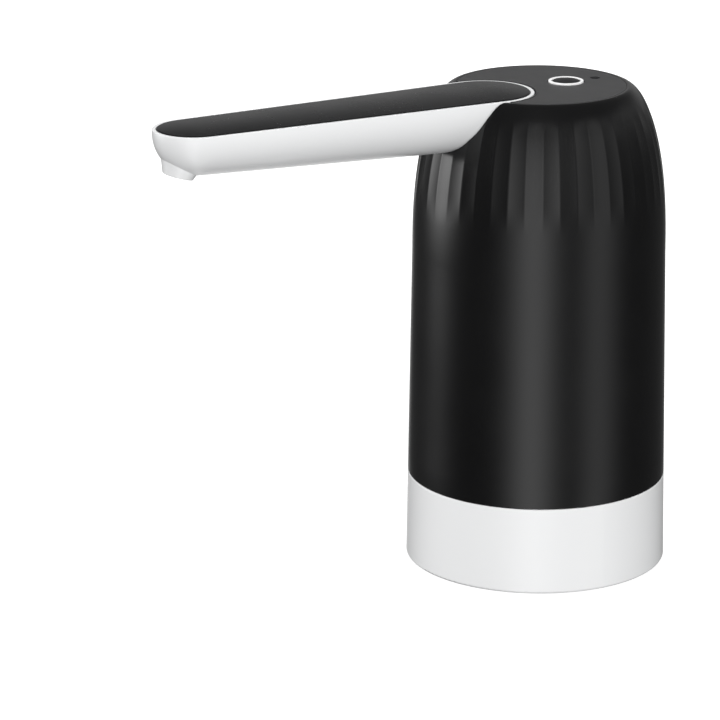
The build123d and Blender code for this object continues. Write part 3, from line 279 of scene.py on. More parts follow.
barb_count = 3
barb_pitch = 0.0017
barb_ramp = 0.0011
barb_land = 0.0002
barb_back = 0.0001
barb_root = 0.0029
barb_valley = 0.003
barb_radius = 0.00325
barb_margin = 0.0008
barb_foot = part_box("inlet_fitting")[0][2] + barb_margin
barb_profile = [(barb_root, barb_foot)]
for barb_start in barb_foot + barb_pitch * np.arange(barb_count):
    barb_ridge = barb_start + barb_ramp
    barb_profile += [
        (barb_valley, barb_start),
        (barb_radius, barb_ridge),
        (barb_radius, barb_ridge + barb_land),
    ]
barb_end = barb_ridge + barb_land + barb_back
barb_profile += [(barb_valley, barb_end), (barb_root, barb_end)]
hose_barbs = skin("hose_barbs", [lathe(barb_profile)], round_rows=True)
place(hose_barbs, "pump_body", natural_nylon)

drawn, drawn_in, drawn_out = new_group(
    "drawn_metal",
    {
        "Tone Low": "Color",
        "Tone High": "Color",
        "Stretch": "Vector",
        "Rough Low": "Float",
        "Rough High": "Float",
    },
    {"Tone": "Color", "Rough": "Float", "Relief": "Float"},
)
drawn_place = put(drawn, "ShaderNodeTexCoord").outputs["Object"]
drawn_along = put(
    drawn, "ShaderNodeMapping", Vector=drawn_place, Scale=drawn_in.outputs["Stretch"]
)
drawn_lines = put(
    drawn, "ShaderNodeTexNoise", Vector=drawn_along.outputs["Vector"], Scale=1.0, Detail=3.0
).outputs["Fac"]
drawn_share = put(drawn, "ShaderNodeMapRange", Value=drawn_lines, From_Min=0.3, From_Max=0.7)
close_group(drawn, drawn_in, drawn_out, drawn_share.outputs["Result"], drawn_lines)
drawn_bump = 0.3
drawn_depth = 0.00002


def metal(name, low, high, rough, stretch):
    """Drawn or turned metal: fine lines along the way it was worked, in tone, gloss and relief."""
    values = {"Stretch": stretch}
    return patterned(
        name, drawn, low, high, rough, drawn_bump, drawn_depth, values, {"Metallic": 1.0}
    )


zinc_steel = metal(
    "zinc_steel",
    low=(0.46, 0.47, 0.49),
    high=(0.58, 0.585, 0.60),
    rough=(0.24, 0.38),
    stretch=(900.0, 900.0, 120.0),
)

screw_count = 3
screw_first = radians(30)
screw_circle = 0.02
screw_head = 0.0023
screw_rise = 0.00161
screw_crown = 0.4
screw_rings = 28
screw_shank = 0.00115
cross_reach = 0.55 * screw_head
cross_end = 0.12 * screw_head
cross_half = 0.16 * screw_head
cross_slope = 0.1 * screw_head
cross_depth = 0.55 * screw_rise
screw_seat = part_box("frame_screws")[0][2] + screw_rise
screw_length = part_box("frame_screws")[1][2] - screw_seat
head_out = np.linspace(0, 1, screw_rings)
head_level = screw_rise * (1 - screw_crown + screw_crown * np.sqrt(1 - head_out**4))
screw_profile = np.concatenate(
    [
        np.stack([screw_head * head_out, head_level], -1),
        [
            (screw_head, 0),
            (screw_shank, 0),
            (screw_shank, screw_shank - screw_length),
            (0, -screw_length),
        ],
    ]
)
screw_grid = lathe(screw_profile)
cross_bars = [
    smooth_step((cross_reach - np.abs(screw_grid[..., along])) / cross_end)
    * smooth_step((cross_half - np.abs(screw_grid[..., 1 - along])) / cross_slope)
    for along in (0, 1)
]
on_head = screw_grid[..., 2] > screw_rise / 2
screw_grid[..., 2] -= cross_depth * np.maximum(*cross_bars) * on_head
screw_grid[..., 2] = screw_seat - screw_grid[..., 2]
screw_turns = screw_first + np.arange(screw_count) * 2 * pi / screw_count
screw_places = screw_circle * np.stack(
    [np.cos(screw_turns), np.sin(screw_turns), 0 * screw_turns], -1
)
deck_screws = skin("deck_screws", [screw_grid + screw_place for screw_place in screw_places])
place(deck_screws, "pump_body", zinc_steel)
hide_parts("frame_screws")

# Pump and water way. Nylon head, valve plate and housing are screwed together round a black rubber
# diaphragm with flap valves, which a grey plate on a crank's oblique pin rocks. Translucent
# silicone tubes are pushed over its nipples.
silicone = moulded(
    "clear_silicone",
    low=(0.66, 0.68, 0.68),
    high=(0.74, 0.755, 0.75),
    rough=(0.35, 0.45),
    cloud=80.0,
    pits=900.0,
    depth=0.00004,
    Transmission_Weight=0.35,
)
black_rubber = moulded(
    "black_rubber",
    low=(0.012, 0.012, 0.012),
    high=(0.022, 0.022, 0.022),
    rough=(0.6, 0.75),
    cloud=120.0,
    pits=1800.0,
    depth=0.00005,
)
finish_node(natural_nylon, "pump_head", "valve_plate", "pump_housing")
finish_node(zinc_steel, "pump_screws", "wobble_pin")
finish_node(black_rubber, "diaphragm", "inlet_valves", "outlet_valves")
finish_node(grey_abs, "wobble_plate", "pump_crank")
finish_node(silicone, "inlet_tube", "outlet_tube")

# Motor. Drawn steel can, ferrite magnets, laminated armature with enamelled copper coils, copper
# commutator and brushes, sintered bronze bearings and a black end cap. It is screwed to a grey
# bracket, and the bracket to the frame.
ferrite = moulded(
    "ferrite",
    low=(0.035, 0.035, 0.037),
    high=(0.06, 0.06, 0.062),
    rough=(0.55, 0.7),
    cloud=300.0,
    pits=3000.0,
    depth=0.00004,
)
black_nylon = moulded(
    "black_nylon",
    low=(0.014, 0.014, 0.015),
    high=(0.024, 0.024, 0.025),
    rough=(0.45, 0.6),
    cloud=90.0,
    pits=1600.0,
    depth=0.00004,
)
bronze = metal(
    "sintered_bronze",
    low=(0.34, 0.20, 0.08),
    high=(0.50, 0.32, 0.14),
    rough=(0.35, 0.55),
    stretch=(1500.0, 1500.0, 1500.0),
)
copper = metal(
    "enamelled_copper",
    low=(0.42, 0.15, 0.06),
    high=(0.66, 0.29, 0.13),
    rough=(0.2, 0.32),
    stretch=(300.0, 300.0, 2600.0),
)
finish_node(grey_abs, "motor_bracket")
finish_node(zinc_steel, "motor_can", "motor_shaft", "motor_screws", "bracket_screws")
finish_node(ferrite, "motor_magnets", "armature_core")
finish_node(bronze, "motor_bearings", "motor_terminals")
finish_node(copper, "armature_windings", "commutator", "motor_brushes")
finish_node(black_nylon, "motor_end_cap")

# Cell, board and leads. A cell in blue shrink wrap with steel tabs, and a board with green solder
# mask that carries switch, light, chips and the charging socket with its gilt contacts. The board
# is screwed up under the top, and red insulated leads are soldered to it.
cell_wrap = moulded(
    "cell_wrap",
    low=(0.010, 0.065, 0.22),
    high=(0.014, 0.085, 0.28),
    rough=(0.25, 0.35),
    cloud=60.0,
    pits=500.0,
    depth=0.00003,
)
solder_mask = moulded(
    "solder_mask",
    low=(0.004, 0.06, 0.02),
    high=(0.006, 0.09, 0.03),
    rough=(0.25, 0.4),
    cloud=400.0,
    pits=900.0,
    depth=0.00004,
)
led_body = moulded(
    "led_body",
    low=(0.75, 0.72, 0.5),
    high=(0.85, 0.8, 0.6),
    rough=(0.25, 0.3),
    cloud=300.0,
    pits=900.0,
    depth=0.00002,
)
insulation = moulded(
    "lead_insulation",
    low=(0.30, 0.006, 0.006),
    high=(0.38, 0.01, 0.01),
    rough=(0.4, 0.5),
    cloud=200.0,
    pits=900.0,
    depth=0.00003,
)
finish_node(cell_wrap, "battery_cell")
finish_node(zinc_steel, "battery_tabs", "usb_socket", "board_screws")
finish_node(solder_mask, "control_board")
finish_node(black_nylon, "tact_switch", "switch_plunger", "board_chips")
finish_node(led_body, "indicator_led")
finish_node(insulation, "motor_leads", "battery_leads")


def with_ends(rows):
    """The rows of a tube, and at each end one more that is drawn together in the row's middle."""
    first, last = [np.broadcast_to(row.mean(0), row.shape) for row in (rows[0], rows[-1])]
    return np.stack([first, *rows, last])


contact_count = 12
contact_pitch = 0.0005
contact_half = (0.00014, 0.0, 0.00003)
contact_length = 0.0028
contact_inset = 0.00195
contact_rise = 0.00035
socket_low, socket_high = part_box("usb_socket")
socket_level = (socket_low[2] + socket_high[2]) / 2
contact_end = socket_high[1] - contact_inset
contact_corners = np.array([(-1, 0, -1), (1, 0, -1), (1, 0, 1), (-1, 0, 1)]) * contact_half
contact_grids = []
for contact_side in (-1, 1):
    contact_level = socket_level + contact_side * contact_rise
    for contact_x in contact_pitch * (np.arange(contact_count) - (contact_count - 1) / 2):
        contact_front = contact_corners + (contact_x, contact_end, contact_level)
        contact_back = contact_front - (0, contact_length, 0)
        contact_grids.append(with_ends([contact_back, contact_front]))
gold_plate = metal(
    "gold_plate",
    low=(0.80, 0.56, 0.20),
    high=(0.92, 0.68, 0.30),
    rough=(0.18, 0.28),
    stretch=(900.0, 200.0, 900.0),
)
port_contacts = skin("port_contacts", contact_grids)
place(port_contacts, "pump_body", gold_plate)

# Body shell. Black ABS case moulded in one piece and pushed over the base cup: a drafted wall, a
# full round shoulder with shallow hollow flutes that closes on a narrow lip, the notch that the
# spout lies in and the charging port at the back.
seam_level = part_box("body_shell")[0][2]
shell_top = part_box("body_shell")[1][2]
opening_radius = 0.02364
lip_radius = 0.0242
lip_bead = 0.00006
lip_depth = 0.0024
shoulder_radius = 0.0352
shoulder_rise = 0.0466
shoulder_start = shell_top - shoulder_rise
shoulder_power = 2.4
shoulder_root = 0.571
hollow_rise = shoulder_rise - lip_depth
wall_draft = 0.00132
shell_wall = 0.0022
seam_edge = 0.0004
seam_rows = 6
wall_rows = 12
shoulder_rows = 91
hollow_rows = 13
flute_count = 45
flute_columns = 14
flute_depth = 0.00016
flute_margin = 0.003
flute_length = 0.0316
flute_run_in = 0.004
flute_run_out = 0.0095
flute_top = shell_top - flute_margin
flute_bottom = flute_top - flute_length
spout_root = 0.01795
spout_length = 0.08815
root_half = 0.0136
tip_half = 0.01125
notch_gap = 0.00035
notch_drop = 0.00165
notch_axis = shell_top - notch_drop
notch_halvings = 40
port_columns = 64
port_width = 0.0095
port_height = 0.0038
port_flare = 0.00035
port_depth = 0.006
port_clear = 0.002


def case_draft(height):
    """How far the drafted wall stands out: its full draft at the floor, falling in a straight line
    to nothing at the shoulder's foot."""
    return wall_draft * np.clip(1 - height / shoulder_start, 0, 1)


def case_radius(height):
    """Outside radius of the case: a straight draft, then a quarter of a superellipse that closes on
    the lip, with a quarter round at the seam."""
    share = np.clip((height - shoulder_start) / shoulder_rise, 0, 1) ** shoulder_power
    shoulder = (shoulder_radius - lip_radius) * (1 - share) ** shoulder_root
    edge = np.clip(1 - (height - seam_level) / seam_edge, 0, 1)
    round_off = seam_edge * (1 - np.sqrt(1 - edge**2))
    return lip_radius + shoulder + case_draft(height) - round_off


def fluted_radius(height, turn):
    """The case's radius less the flutes: each is a parabola between two crests that fades out at
    both ends."""
    across = 2 * ((turn * flute_count / (2 * pi) + 0.5) % 1 - 0.5)
    run_in = smooth_step((flute_top - height) / flute_run_in)
    run_out = smooth_step((height - flute_bottom) / flute_run_out)
    return case_radius(height) - flute_depth * run_in * run_out * (1 - across**2)


def hollow_radius(height, turn):
    """Inside radius of the case: the wall's draft, an ellipse that closes on the opening, and the
    bore of the lip."""
    share = np.clip((height - shoulder_start) / hollow_rise, 0, 1)
    inset = shoulder_radius - shell_wall - opening_radius
    return opening_radius + inset * np.sqrt(1 - share**2) + case_draft(height) + 0 * turn


def notch_level(radius, turn):
    """Height at which a wall meets the notch, by halving: the notch is the spout's cone grown by
    its gap, with upright sides above the cone's axis."""
    lean = (root_half - tip_half) / spout_length
    low = np.full_like(turn, flute_bottom)
    high = np.full_like(turn, shell_top)
    for _ in range(notch_halvings):
        middle = (low + high) / 2
        reach = radius(middle, turn)
        off_axis = np.hypot(reach * np.sin(turn), np.maximum(notch_axis - middle, 0))
        along = reach * np.cos(turn) - spout_root
        cone = off_axis * np.sqrt(1 - lean**2) + along * lean
        inside = (cone < root_half + notch_gap) & (along > 0)
        high = np.where(inside, middle, high)
        low = np.where(inside, low, middle)
    return high


def cut(piece, knife):
    """Takes the knife's solid out of the piece, and drops the knife."""
    modifier = piece.modifiers.new("cut", "BOOLEAN")
    modifier.object = knife
    modifier.operation = "DIFFERENCE"
    modifier.solver = "EXACT"
    bpy.context.view_layer.update()
    whole = piece.data
    piece_now = piece.evaluated_get(bpy.context.evaluated_depsgraph_get())
    piece.data = bpy.data.meshes.new_from_object(piece_now)
    piece.modifiers.clear()
    bpy.data.meshes.remove(whole)
    bpy.data.objects.remove(knife)
    shade(piece.data)


shell_turns = np.linspace(0, 2 * pi, flute_count * flute_columns, endpoint=False)
outer_rows = np.concatenate(
    [
        seam_level + seam_edge * (1 - np.cos(np.linspace(0, pi / 2, seam_rows))),
        np.linspace(seam_level + seam_edge, shoulder_start, wall_rows)[1:],
        shoulder_start + shoulder_rise * np.sin(np.linspace(0, pi / 2, shoulder_rows))[1:],
    ]
)
inner_rows = np.concatenate(
    [
        [shell_top - lip_bead],
        shoulder_start + hollow_rise * np.sin(np.linspace(pi / 2, 0, hollow_rows)),
        [(shoulder_start + seam_level) / 2, seam_level],
    ]
)
shell_grid = []
for shell_rows, shell_radius in ((outer_rows, fluted_radius), (inner_rows, hollow_radius)):
    shell_z = np.minimum(shell_rows[:, None], notch_level(shell_radius, shell_turns))
    shell_reach = shell_radius(shell_z, shell_turns)
    shell_x, shell_y = shell_reach * np.sin(shell_turns), -shell_reach * np.cos(shell_turns)
    shell_grid.append(np.stack([shell_x, shell_y, shell_z], -1))
body_skin = skin("body_skin", [np.concatenate(shell_grid)], round_rows=True)

port_turns = np.linspace(0, 2 * pi, port_columns, endpoint=False)
port_rings = []
for port_out, port_grow in (
    (-port_depth, 0.0),
    (-port_flare, 0.0),
    (0.0, port_flare),
    (port_clear, port_flare + port_clear),
):
    port_round = port_height / 2 + port_grow
    port_straight = np.sign(np.cos(port_turns)) * (port_width - port_height) / 2
    port_x = port_straight + port_round * np.cos(port_turns)
    port_z = socket_level + port_round * np.sin(port_turns)
    port_y = np.sqrt((case_radius(port_z) + port_out) ** 2 - port_x**2)
    port_rings.append(np.stack([port_x, port_y, port_z], -1))
cut(body_skin, skin("port_knife", [with_ends(port_rings)]))

black_abs = moulded(
    "black_abs",
    low=(0.0030, 0.0030, 0.0032),
    high=(0.0040, 0.0040, 0.0042),
    rough=(0.20, 0.24),
    cloud=45.0,
    pits=2600.0,
    depth=0.00002,
)
place(body_skin, "pump_body", black_abs)
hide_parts("body_shell")

# Top cap. Satin black ABS disc that closes the case's opening, with the recess for the spout, the
# button hole and the lens hole. Its edge is square, and a fine gloss black ring trims the recess.
disc_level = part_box("top_cap")[1][2]
trim_near = 0.0004
trim_far = 0.00102
trim_slope = 0.0001
trim_proud = 0.00006
trim_foot = 0.0006
trim_past = radians(1)
trim_rows = 120
disc_radius = 0.02355
edge_ease = 0.00008
edge_chamfer = 0.00035
edge_start = radians(-51.2)
edge_rows = 240


def strip(name, section, turns, centre):
    """A strip along an arc about an upright axis: a section of radii and heights carried round the
    centre, with closed ends."""
    radius, level = np.array(section).T
    across, along = np.cos(turns)[:, None], np.sin(turns)[:, None]
    grid = np.stack([radius * across, radius * along, level + 0 * across], -1) + centre
    return skin(name, [with_ends(grid)])


cap_abs = moulded(
    "cap_abs",
    low=(0.031, 0.031, 0.032),
    high=(0.036, 0.036, 0.037),
    rough=(0.36, 0.42),
    cloud=70.0,
    pits=2400.0,
    depth=0.00004,
)
finish_node(cap_abs, "top_cap")

trim_section = [
    (root_half + trim_near, -trim_foot),
    (root_half + trim_near, 0.0),
    (root_half + trim_near + trim_proud, trim_proud),
    (root_half + trim_far - trim_slope, trim_proud),
    (root_half + trim_far, -trim_foot),
]
trim_turns = np.linspace(-trim_past, pi + trim_past, trim_rows)
recess_trim = strip("recess_trim", trim_section, trim_turns, (0, -spout_root, disc_level))
place(recess_trim, "pump_body", black_abs)

edge_section = [
    (disc_radius - edge_chamfer, 0.0),
    (disc_radius - edge_ease, 0.0),
    (disc_radius, -edge_ease),
    (disc_radius, -edge_chamfer),
]
edge_turns = np.linspace(edge_start, pi - edge_start, edge_rows)
disc_edge = strip("disc_edge", edge_section, edge_turns, (0, 0, disc_level))
place(disc_edge, "pump_body", cap_abs)

# Button, ring and window. A satin black button slides in a glossy white ring that is let into the
# disc, and a round window of smoked plastic is let in behind it, over the board's light.
ring_abs = moulded(
    "ring_abs",
    low=(0.80, 0.80, 0.80),
    high=(0.86, 0.86, 0.86),
    rough=(0.2, 0.28),
    cloud=200.0,
    pits=2600.0,
    depth=0.00001,
)
button_abs = moulded(
    "button_abs",
    low=(0.008, 0.008, 0.009),
    high=(0.012, 0.012, 0.013),
    rough=(0.35, 0.42),
    cloud=150.0,
    pits=2600.0,
    depth=0.00002,
)
lens_smoke = moulded(
    "lens_smoke",
    low=(0.006, 0.006, 0.007),
    high=(0.010, 0.010, 0.011),
    rough=(0.08, 0.12),
    cloud=200.0,
    pits=2600.0,
    depth=0.00001,
)
finish_node(ring_abs, "button_bezel")
finish_node(button_abs, "button_cap")
finish_node(lens_smoke, "indicator_lens")

# Spout. White boat-shaped ABS hull with a plug under its root, which pushes into the cap's socket
# on a rubber seal. A collar under its tip is bored as the nozzle, and a black panel lies on a ledge
# inside its rim.
rim_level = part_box("spout_hull")[1][2]
rim_width = 0.00105
rim_ease = 0.0002
rim_points = 5
ledge_depth = 0.0016
root_side = 0.0022
tip_side = 0.00125
slope_start = 0.27
slope_end = 1.12
end_points = 40
side_points = 24
keel_points = 97
spout_tip = spout_root + spout_length
end_turns = np.linspace(0, pi / 2, end_points)
plan_share = np.concatenate(
    [1 - np.cos(end_turns), np.linspace(1, 2, side_points)[1:-1], 2 + np.sin(end_turns)]
)


def half_plan(share, grow):
    """Half of the spout's plan, from its root end to its tip end: a quarter circle, a straight side
    and a quarter circle, with its half width and place along the spout; it is grown all round, and
    the share runs from 0 to 3."""
    root, tip = root_half + grow, tip_half + grow
    tilt = np.arcsin((root - tip) / spout_length)
    root_turn = pi / 2 - (pi / 2 + tilt) * share
    tip_turn = -tilt - (pi / 2 - tilt) * (share - 2)
    turn = np.where(share < 1, root_turn, tip_turn)
    end_radius = np.where(share < 1, root, tip)
    end_place = np.where(share < 1, spout_root, spout_tip)
    side = np.clip(share - 1, 0, 1)
    side_radius = root + (tip - root) * side
    side_width = side_radius * np.cos(tilt)
    side_place = spout_root + spout_length * side + side_radius * np.sin(tilt)
    middle = (share >= 1) & (share <= 2)
    width = np.where(middle, side_width, end_radius * np.cos(turn))
    along = np.where(middle, side_place, end_place - end_radius * np.sin(turn))
    return np.maximum(width, 0), along


def hull_line(grow, drop):
    """One line along the right half of the hull: the plan, grown, at a drop below the rim."""
    width, along = half_plan(plan_share, grow)
    return np.stack([width, -along, rim_level - drop + 0 * width], -1)


rim_turns = np.linspace(0, pi / 2, rim_points)
hull_lines = [hull_line(-rim_width, ledge_depth)]
for rim_turn in rim_turns:
    rim_inner = -rim_width + rim_ease * (1 - cos(rim_turn))
    hull_lines.append(hull_line(rim_inner, rim_ease * (1 - sin(rim_turn))))
for rim_turn in rim_turns[::-1]:
    rim_outer = -rim_ease * (1 - cos(rim_turn))
    hull_lines.append(hull_line(rim_outer, rim_ease * (1 - sin(rim_turn))))
hull_right = np.stack(hull_lines, 1)
hull_left = hull_right[:, ::-1] * (-1, 1, 1)
hull_width, hull_along = half_plan(plan_share, 0)
keel_turns = np.linspace(0, pi, keel_points)
keel_share = np.clip((hull_along - spout_root) / spout_length, slope_start, slope_end)
keel_side = root_side + (tip_side - root_side) * keel_share
hull_keel = np.stack(
    [
        hull_width[:, None] * np.cos(keel_turns),
        -hull_along[:, None] + 0 * keel_turns,
        rim_level - keel_side[:, None] - hull_width[:, None] * np.sin(keel_turns),
    ],
    -1,
)
hull_grid = np.concatenate([hull_right, hull_keel, hull_left], 1)

plug_drop = 0.01615
plug_length = 0.009
plug_bore = 0.0019
plug_radius = 0.00405
plug_ease = 0.00045
plug_shoulder = 0.006
plug_neck = 0.0036
groove_drop = 0.0045
groove_half = 0.00072
groove_radius = 0.00285
plug_seat = rim_level - plug_drop
plug_foot = plug_seat - plug_length
groove_level = plug_seat - groove_drop
plug_profile = [
    (plug_bore, plug_foot),
    (plug_radius - plug_ease, plug_foot),
    (plug_radius, plug_foot + plug_ease),
    (plug_radius, groove_level - groove_half),
    (groove_radius, groove_level - groove_half),
    (groove_radius, groove_level + groove_half),
    (plug_radius, groove_level + groove_half),
    (plug_radius, plug_seat),
    (plug_shoulder, plug_seat),
    (plug_shoulder, plug_seat + plug_neck),
    (plug_bore, plug_seat + plug_neck),
]
plug_grid = lathe(plug_profile + plug_profile[:1]) - (0, spout_root, 0)

nozzle_tilt = radians(17)
nozzle_reach = 0.00515
nozzle_drop = 0.01245
nozzle_bore = 0.003
bore_clear = 0.0001
bore_start = -0.001
bore_end = 0.0095
mouth_depth = 0.0003
mouth_ease = 0.0002
mouth_land = 0.00395
mouth_radius = 0.00416
mouth_round = 0.00012
collar_height = 0.007
collar_flare = 0.0068
nozzle_place = (0, -spout_tip - nozzle_reach, rim_level - nozzle_drop)


def nozzle_lathe(profile):
    """A turned form whose axis leans back into the spout's tip: radius, then height over the
    mouth."""
    x, y, z = np.moveaxis(lathe(profile), -1, 0)
    lean, stand = sin(nozzle_tilt), cos(nozzle_tilt)
    return np.stack([x, y * stand + z * lean, z * stand - y * lean], -1) + nozzle_place


bore_profile = [
    (0.0, bore_start),
    (nozzle_bore + bore_clear, bore_start),
    (nozzle_bore + bore_clear, bore_end),
    (0.0, bore_end),
]
# Painted shade: the spout's white ABS is the base's white made darker, so the hull shows shade that
# the light does not give it.
spout_abs_painted_shade = moulded(
    "spout_abs_painted_shade",
    low=(0.745, 0.75, 0.755),
    high=(0.755, 0.76, 0.765),
    rough=(0.20, 0.24),
    cloud=40.0,
    pits=2600.0,
    depth=0.00002,
)
spout_skin = skin("spout_skin", [hull_grid, plug_grid])
cut(spout_skin, skin("bore_knife", [nozzle_lathe(bore_profile)]))
place(spout_skin, "spout", spout_abs_painted_shade)
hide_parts("spout_hull")
finish_node(black_rubber, "spout_seal")

collar_profile = [
    (nozzle_bore, collar_height),
    (nozzle_bore, mouth_depth),
    (nozzle_bore + mouth_ease, 0.0),
    (mouth_land, 0.0),
    (mouth_radius, mouth_round),
    (collar_flare, collar_height),
]
nozzle_collar = skin("nozzle_collar", [nozzle_lathe(collar_profile + collar_profile[:1])])
place(nozzle_collar, "spout", spout_abs_painted_shade)

panel_gap = 0.00008
panel_lift = 0.00015
panel_crown = 0.00065
panel_ease = 0.0004
panel_middle = 0.9
panel_rings = 13
panel_edge_rings = 16
panel_grow = -rim_width - panel_gap
panel_share = np.concatenate([plan_share, plan_share[-2:0:-1]])
panel_hand = np.concatenate([np.ones(len(plan_share)), -np.ones(len(plan_share) - 2)])
panel_width, panel_along = half_plan(panel_share, panel_grow)
panel_side = np.clip(panel_share - 1, 0, 1)
panel_spine = spout_root + spout_length * panel_side
panel_reach = root_half + panel_grow + (tip_half - root_half) * panel_side
panel_edge = np.sin(np.linspace(0, pi / 2, panel_edge_rings))[1:]
panel_out = np.concatenate(
    [np.linspace(0, panel_middle, panel_rings), panel_middle + (1 - panel_middle) * panel_edge]
)[:, None]
panel_x = panel_hand * panel_width * panel_out
panel_y = -panel_spine - (panel_along - panel_spine) * panel_out
panel_fall = np.clip(1 - panel_reach * (1 - panel_out) / panel_ease, 0, 1)
panel_round = panel_ease * (1 - np.sqrt(1 - panel_fall**2))
panel_z = rim_level + panel_lift + panel_crown * (1 - panel_out**2) - panel_round
panel_top = np.stack([panel_x, panel_y, panel_z], -1)
panel_under = np.stack([panel_x, panel_y, rim_level - ledge_depth + 0 * panel_x], -1)[::-1]
panel_abs = moulded(
    "panel_abs",
    low=(0.007, 0.007, 0.0075),
    high=(0.010, 0.010, 0.0105),
    rough=(0.24, 0.30),
    cloud=50.0,
    pits=2600.0,
    depth=0.00002,
    Specular_IOR_Level=0.25,
)
panel_skin = skin("panel_skin", [np.concatenate([panel_top, panel_under])])
place(panel_skin, "spout", panel_abs)
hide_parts("spout_panel")

# Floor. Plain white paper sheet, wider than the picture. It is lifted to white for the camera,
# keeps the soft shadow of the part, and is clear from below.
floor_half = 6.0
floor_tone = (0.5, 0.5, 0.5, 1.0)
floor_lift = 0.6


def put_in_order(tree, kind, *inputs, **settings):
    """The outputs of a shader node whose inputs share their names, so they are given in order."""
    node = put(tree, kind, settings)
    for socket, value in zip(node.inputs, inputs):
        feed(tree, socket, value)
    return node.outputs


def reckon(tree, operation, *values):
    """The result of one sum on numbers or sockets."""
    return put_in_order(tree, "ShaderNodeMath", *values, operation=operation)[0]


floor_mesh = bpy.data.meshes.new("floor")
floor_corners = floor_half * np.array([(-1, -1, 0), (1, -1, 0), (1, 1, 0), (-1, 1, 0)])
floor_mesh.from_pydata(floor_corners.tolist(), [], [(0, 1, 2, 3)])
floor = bpy.data.objects.new("floor", floor_mesh)
bpy.context.scene.collection.objects.link(floor)
floor_paper = bpy.data.materials.new("floor_paper")
floor_paper.use_nodes = True
paper = floor_paper.node_tree
paper.nodes.clear()
paper_rays = put(paper, "ShaderNodeLightPath").outputs
paper_shown = reckon(paper, "MAXIMUM", paper_rays["Is Camera Ray"], paper_rays["Is Glossy Ray"])
paper_seen = reckon(paper, "MAXIMUM", paper_shown, paper_rays["Is Transmission Ray"])
paper_lift = reckon(paper, "MULTIPLY", paper_seen, floor_lift)
paper_glow = put(paper, "ShaderNodeEmission", Strength=paper_lift).outputs[0]
paper_diffuse = put(paper, "ShaderNodeBsdfDiffuse", Color=floor_tone).outputs[0]
paper_above = put_in_order(paper, "ShaderNodeAddShader", paper_diffuse, paper_glow)[0]
paper_below = put(paper, "ShaderNodeBsdfTransparent").outputs[0]
paper_side = put(paper, "ShaderNodeNewGeometry").outputs["Backfacing"]
paper_both = put_in_order(paper, "ShaderNodeMixShader", paper_side, paper_above, paper_below)[0]
put(paper, "ShaderNodeOutputMaterial", Surface=paper_both)
coat(floor_mesh, floor_paper)
floor.visible_glossy = False
floor.visible_diffuse = False

# Camera. It stands where the picture was taken from, in front of the button's right-hand side,
# a little above the part; the frame is shifted down, and the picture is square.
view_turn = radians(61.2)
view_rise = radians(16.412)
view_distance = 1.05638
view_aside = -0.049698
view_height = 0.070
focal_pixels = 3777.68
picture_pixels = 720
drop_pixels = -46.85
sensor_width = 36.0
right = Vector((cos(view_turn), sin(view_turn), 0.0))
front = Vector((sin(view_turn), -cos(view_turn), 0.0))
back = front * cos(view_rise) + Vector((0.0, 0.0, sin(view_rise)))


def set_up(stand, spot, side, out):
    """Puts a camera or lamp on its spot, with its sideways axis along side and its back to out."""
    bpy.context.scene.collection.objects.link(stand)
    axes = Matrix((side, out.cross(side), out)).transposed()
    stand.matrix_world = Matrix.Translation(spot) @ axes.to_4x4()


camera_data = bpy.data.cameras.new("camera")
camera_data.sensor_width = sensor_width
camera_data.lens = focal_pixels / picture_pixels * sensor_width
camera_data.shift_y = drop_pixels / picture_pixels
camera = bpy.data.objects.new("camera", camera_data)
camera_aim = right * view_aside + Vector((0, 0, view_height))
set_up(camera, camera_aim + back * view_distance, right, back)
bpy.context.scene.camera = camera

# Light. Soft boxes overhead, in front, behind and at both sides light the part. A tent round it,
# which only its gloss shows, is dark cloth with soft bright panels by direction. The world is white
# to the camera and a pale fill to the part, brighter from below.
part_middle = Vector((0, 0, 0.07))
overhead = 0.001


def towards(turn, rise=0.0):
    """The direction at a turn to the right of the camera's, in degrees, and at a rise."""
    flat = front * cos(radians(turn)) + right * sin(radians(turn))
    return flat * cos(radians(rise)) + Vector((0, 0, sin(radians(rise))))


def soft_box(name, turn, rise, distance, size, radiance):
    """A soft square lamp in a direction from the part, turned towards it, with one side level."""
    lamp = bpy.data.lights.new(name, "AREA")
    lamp.shape = "RECTANGLE"
    lamp.size = lamp.size_y = size
    lamp.energy = radiance * pi * size * size
    box = bpy.data.objects.new(name, lamp)
    out = towards(turn, rise)
    side = Vector((0, 0, 1)).cross(out)
    side = side.normalized() if side.length > overhead else Vector((1, 0, 0))
    set_up(box, part_middle + out * distance, side, out)
    box.visible_glossy = False
    box.visible_camera = False


soft_box("top_box", turn=0, rise=90, distance=1.2, size=1.2, radiance=1.4)
soft_box("key_box", turn=5, rise=24, distance=1.2, size=0.6, radiance=10.8)
soft_box("left_box", turn=-110, rise=20, distance=1.1, size=0.6, radiance=6.4)
soft_box("right_box", turn=115, rise=20, distance=1.1, size=0.6, radiance=2.0)
soft_box("back_box", turn=180, rise=28, distance=1.2, size=0.6, radiance=8.0)

tent_radius = 2.5
tent_columns = 96
tent_rows = 49
tent_turns = np.linspace(0, 2 * pi, tent_columns, endpoint=False)
tent_rises = np.linspace(-pi / 2, pi / 2, tent_rows)[:, None]
tent_grid = np.stack(
    [
        np.cos(tent_rises) * np.cos(tent_turns),
        np.cos(tent_rises) * np.sin(tent_turns),
        np.sin(tent_rises) + 0 * tent_turns,
    ],
    -1,
)
tent = skin("tent", [tent_radius * tent_grid + np.array(part_middle)])


def steer(tree, operation, *values):
    """The outputs of one step on directions."""
    return put_in_order(tree, "ShaderNodeVectorMath", *values, operation=operation)


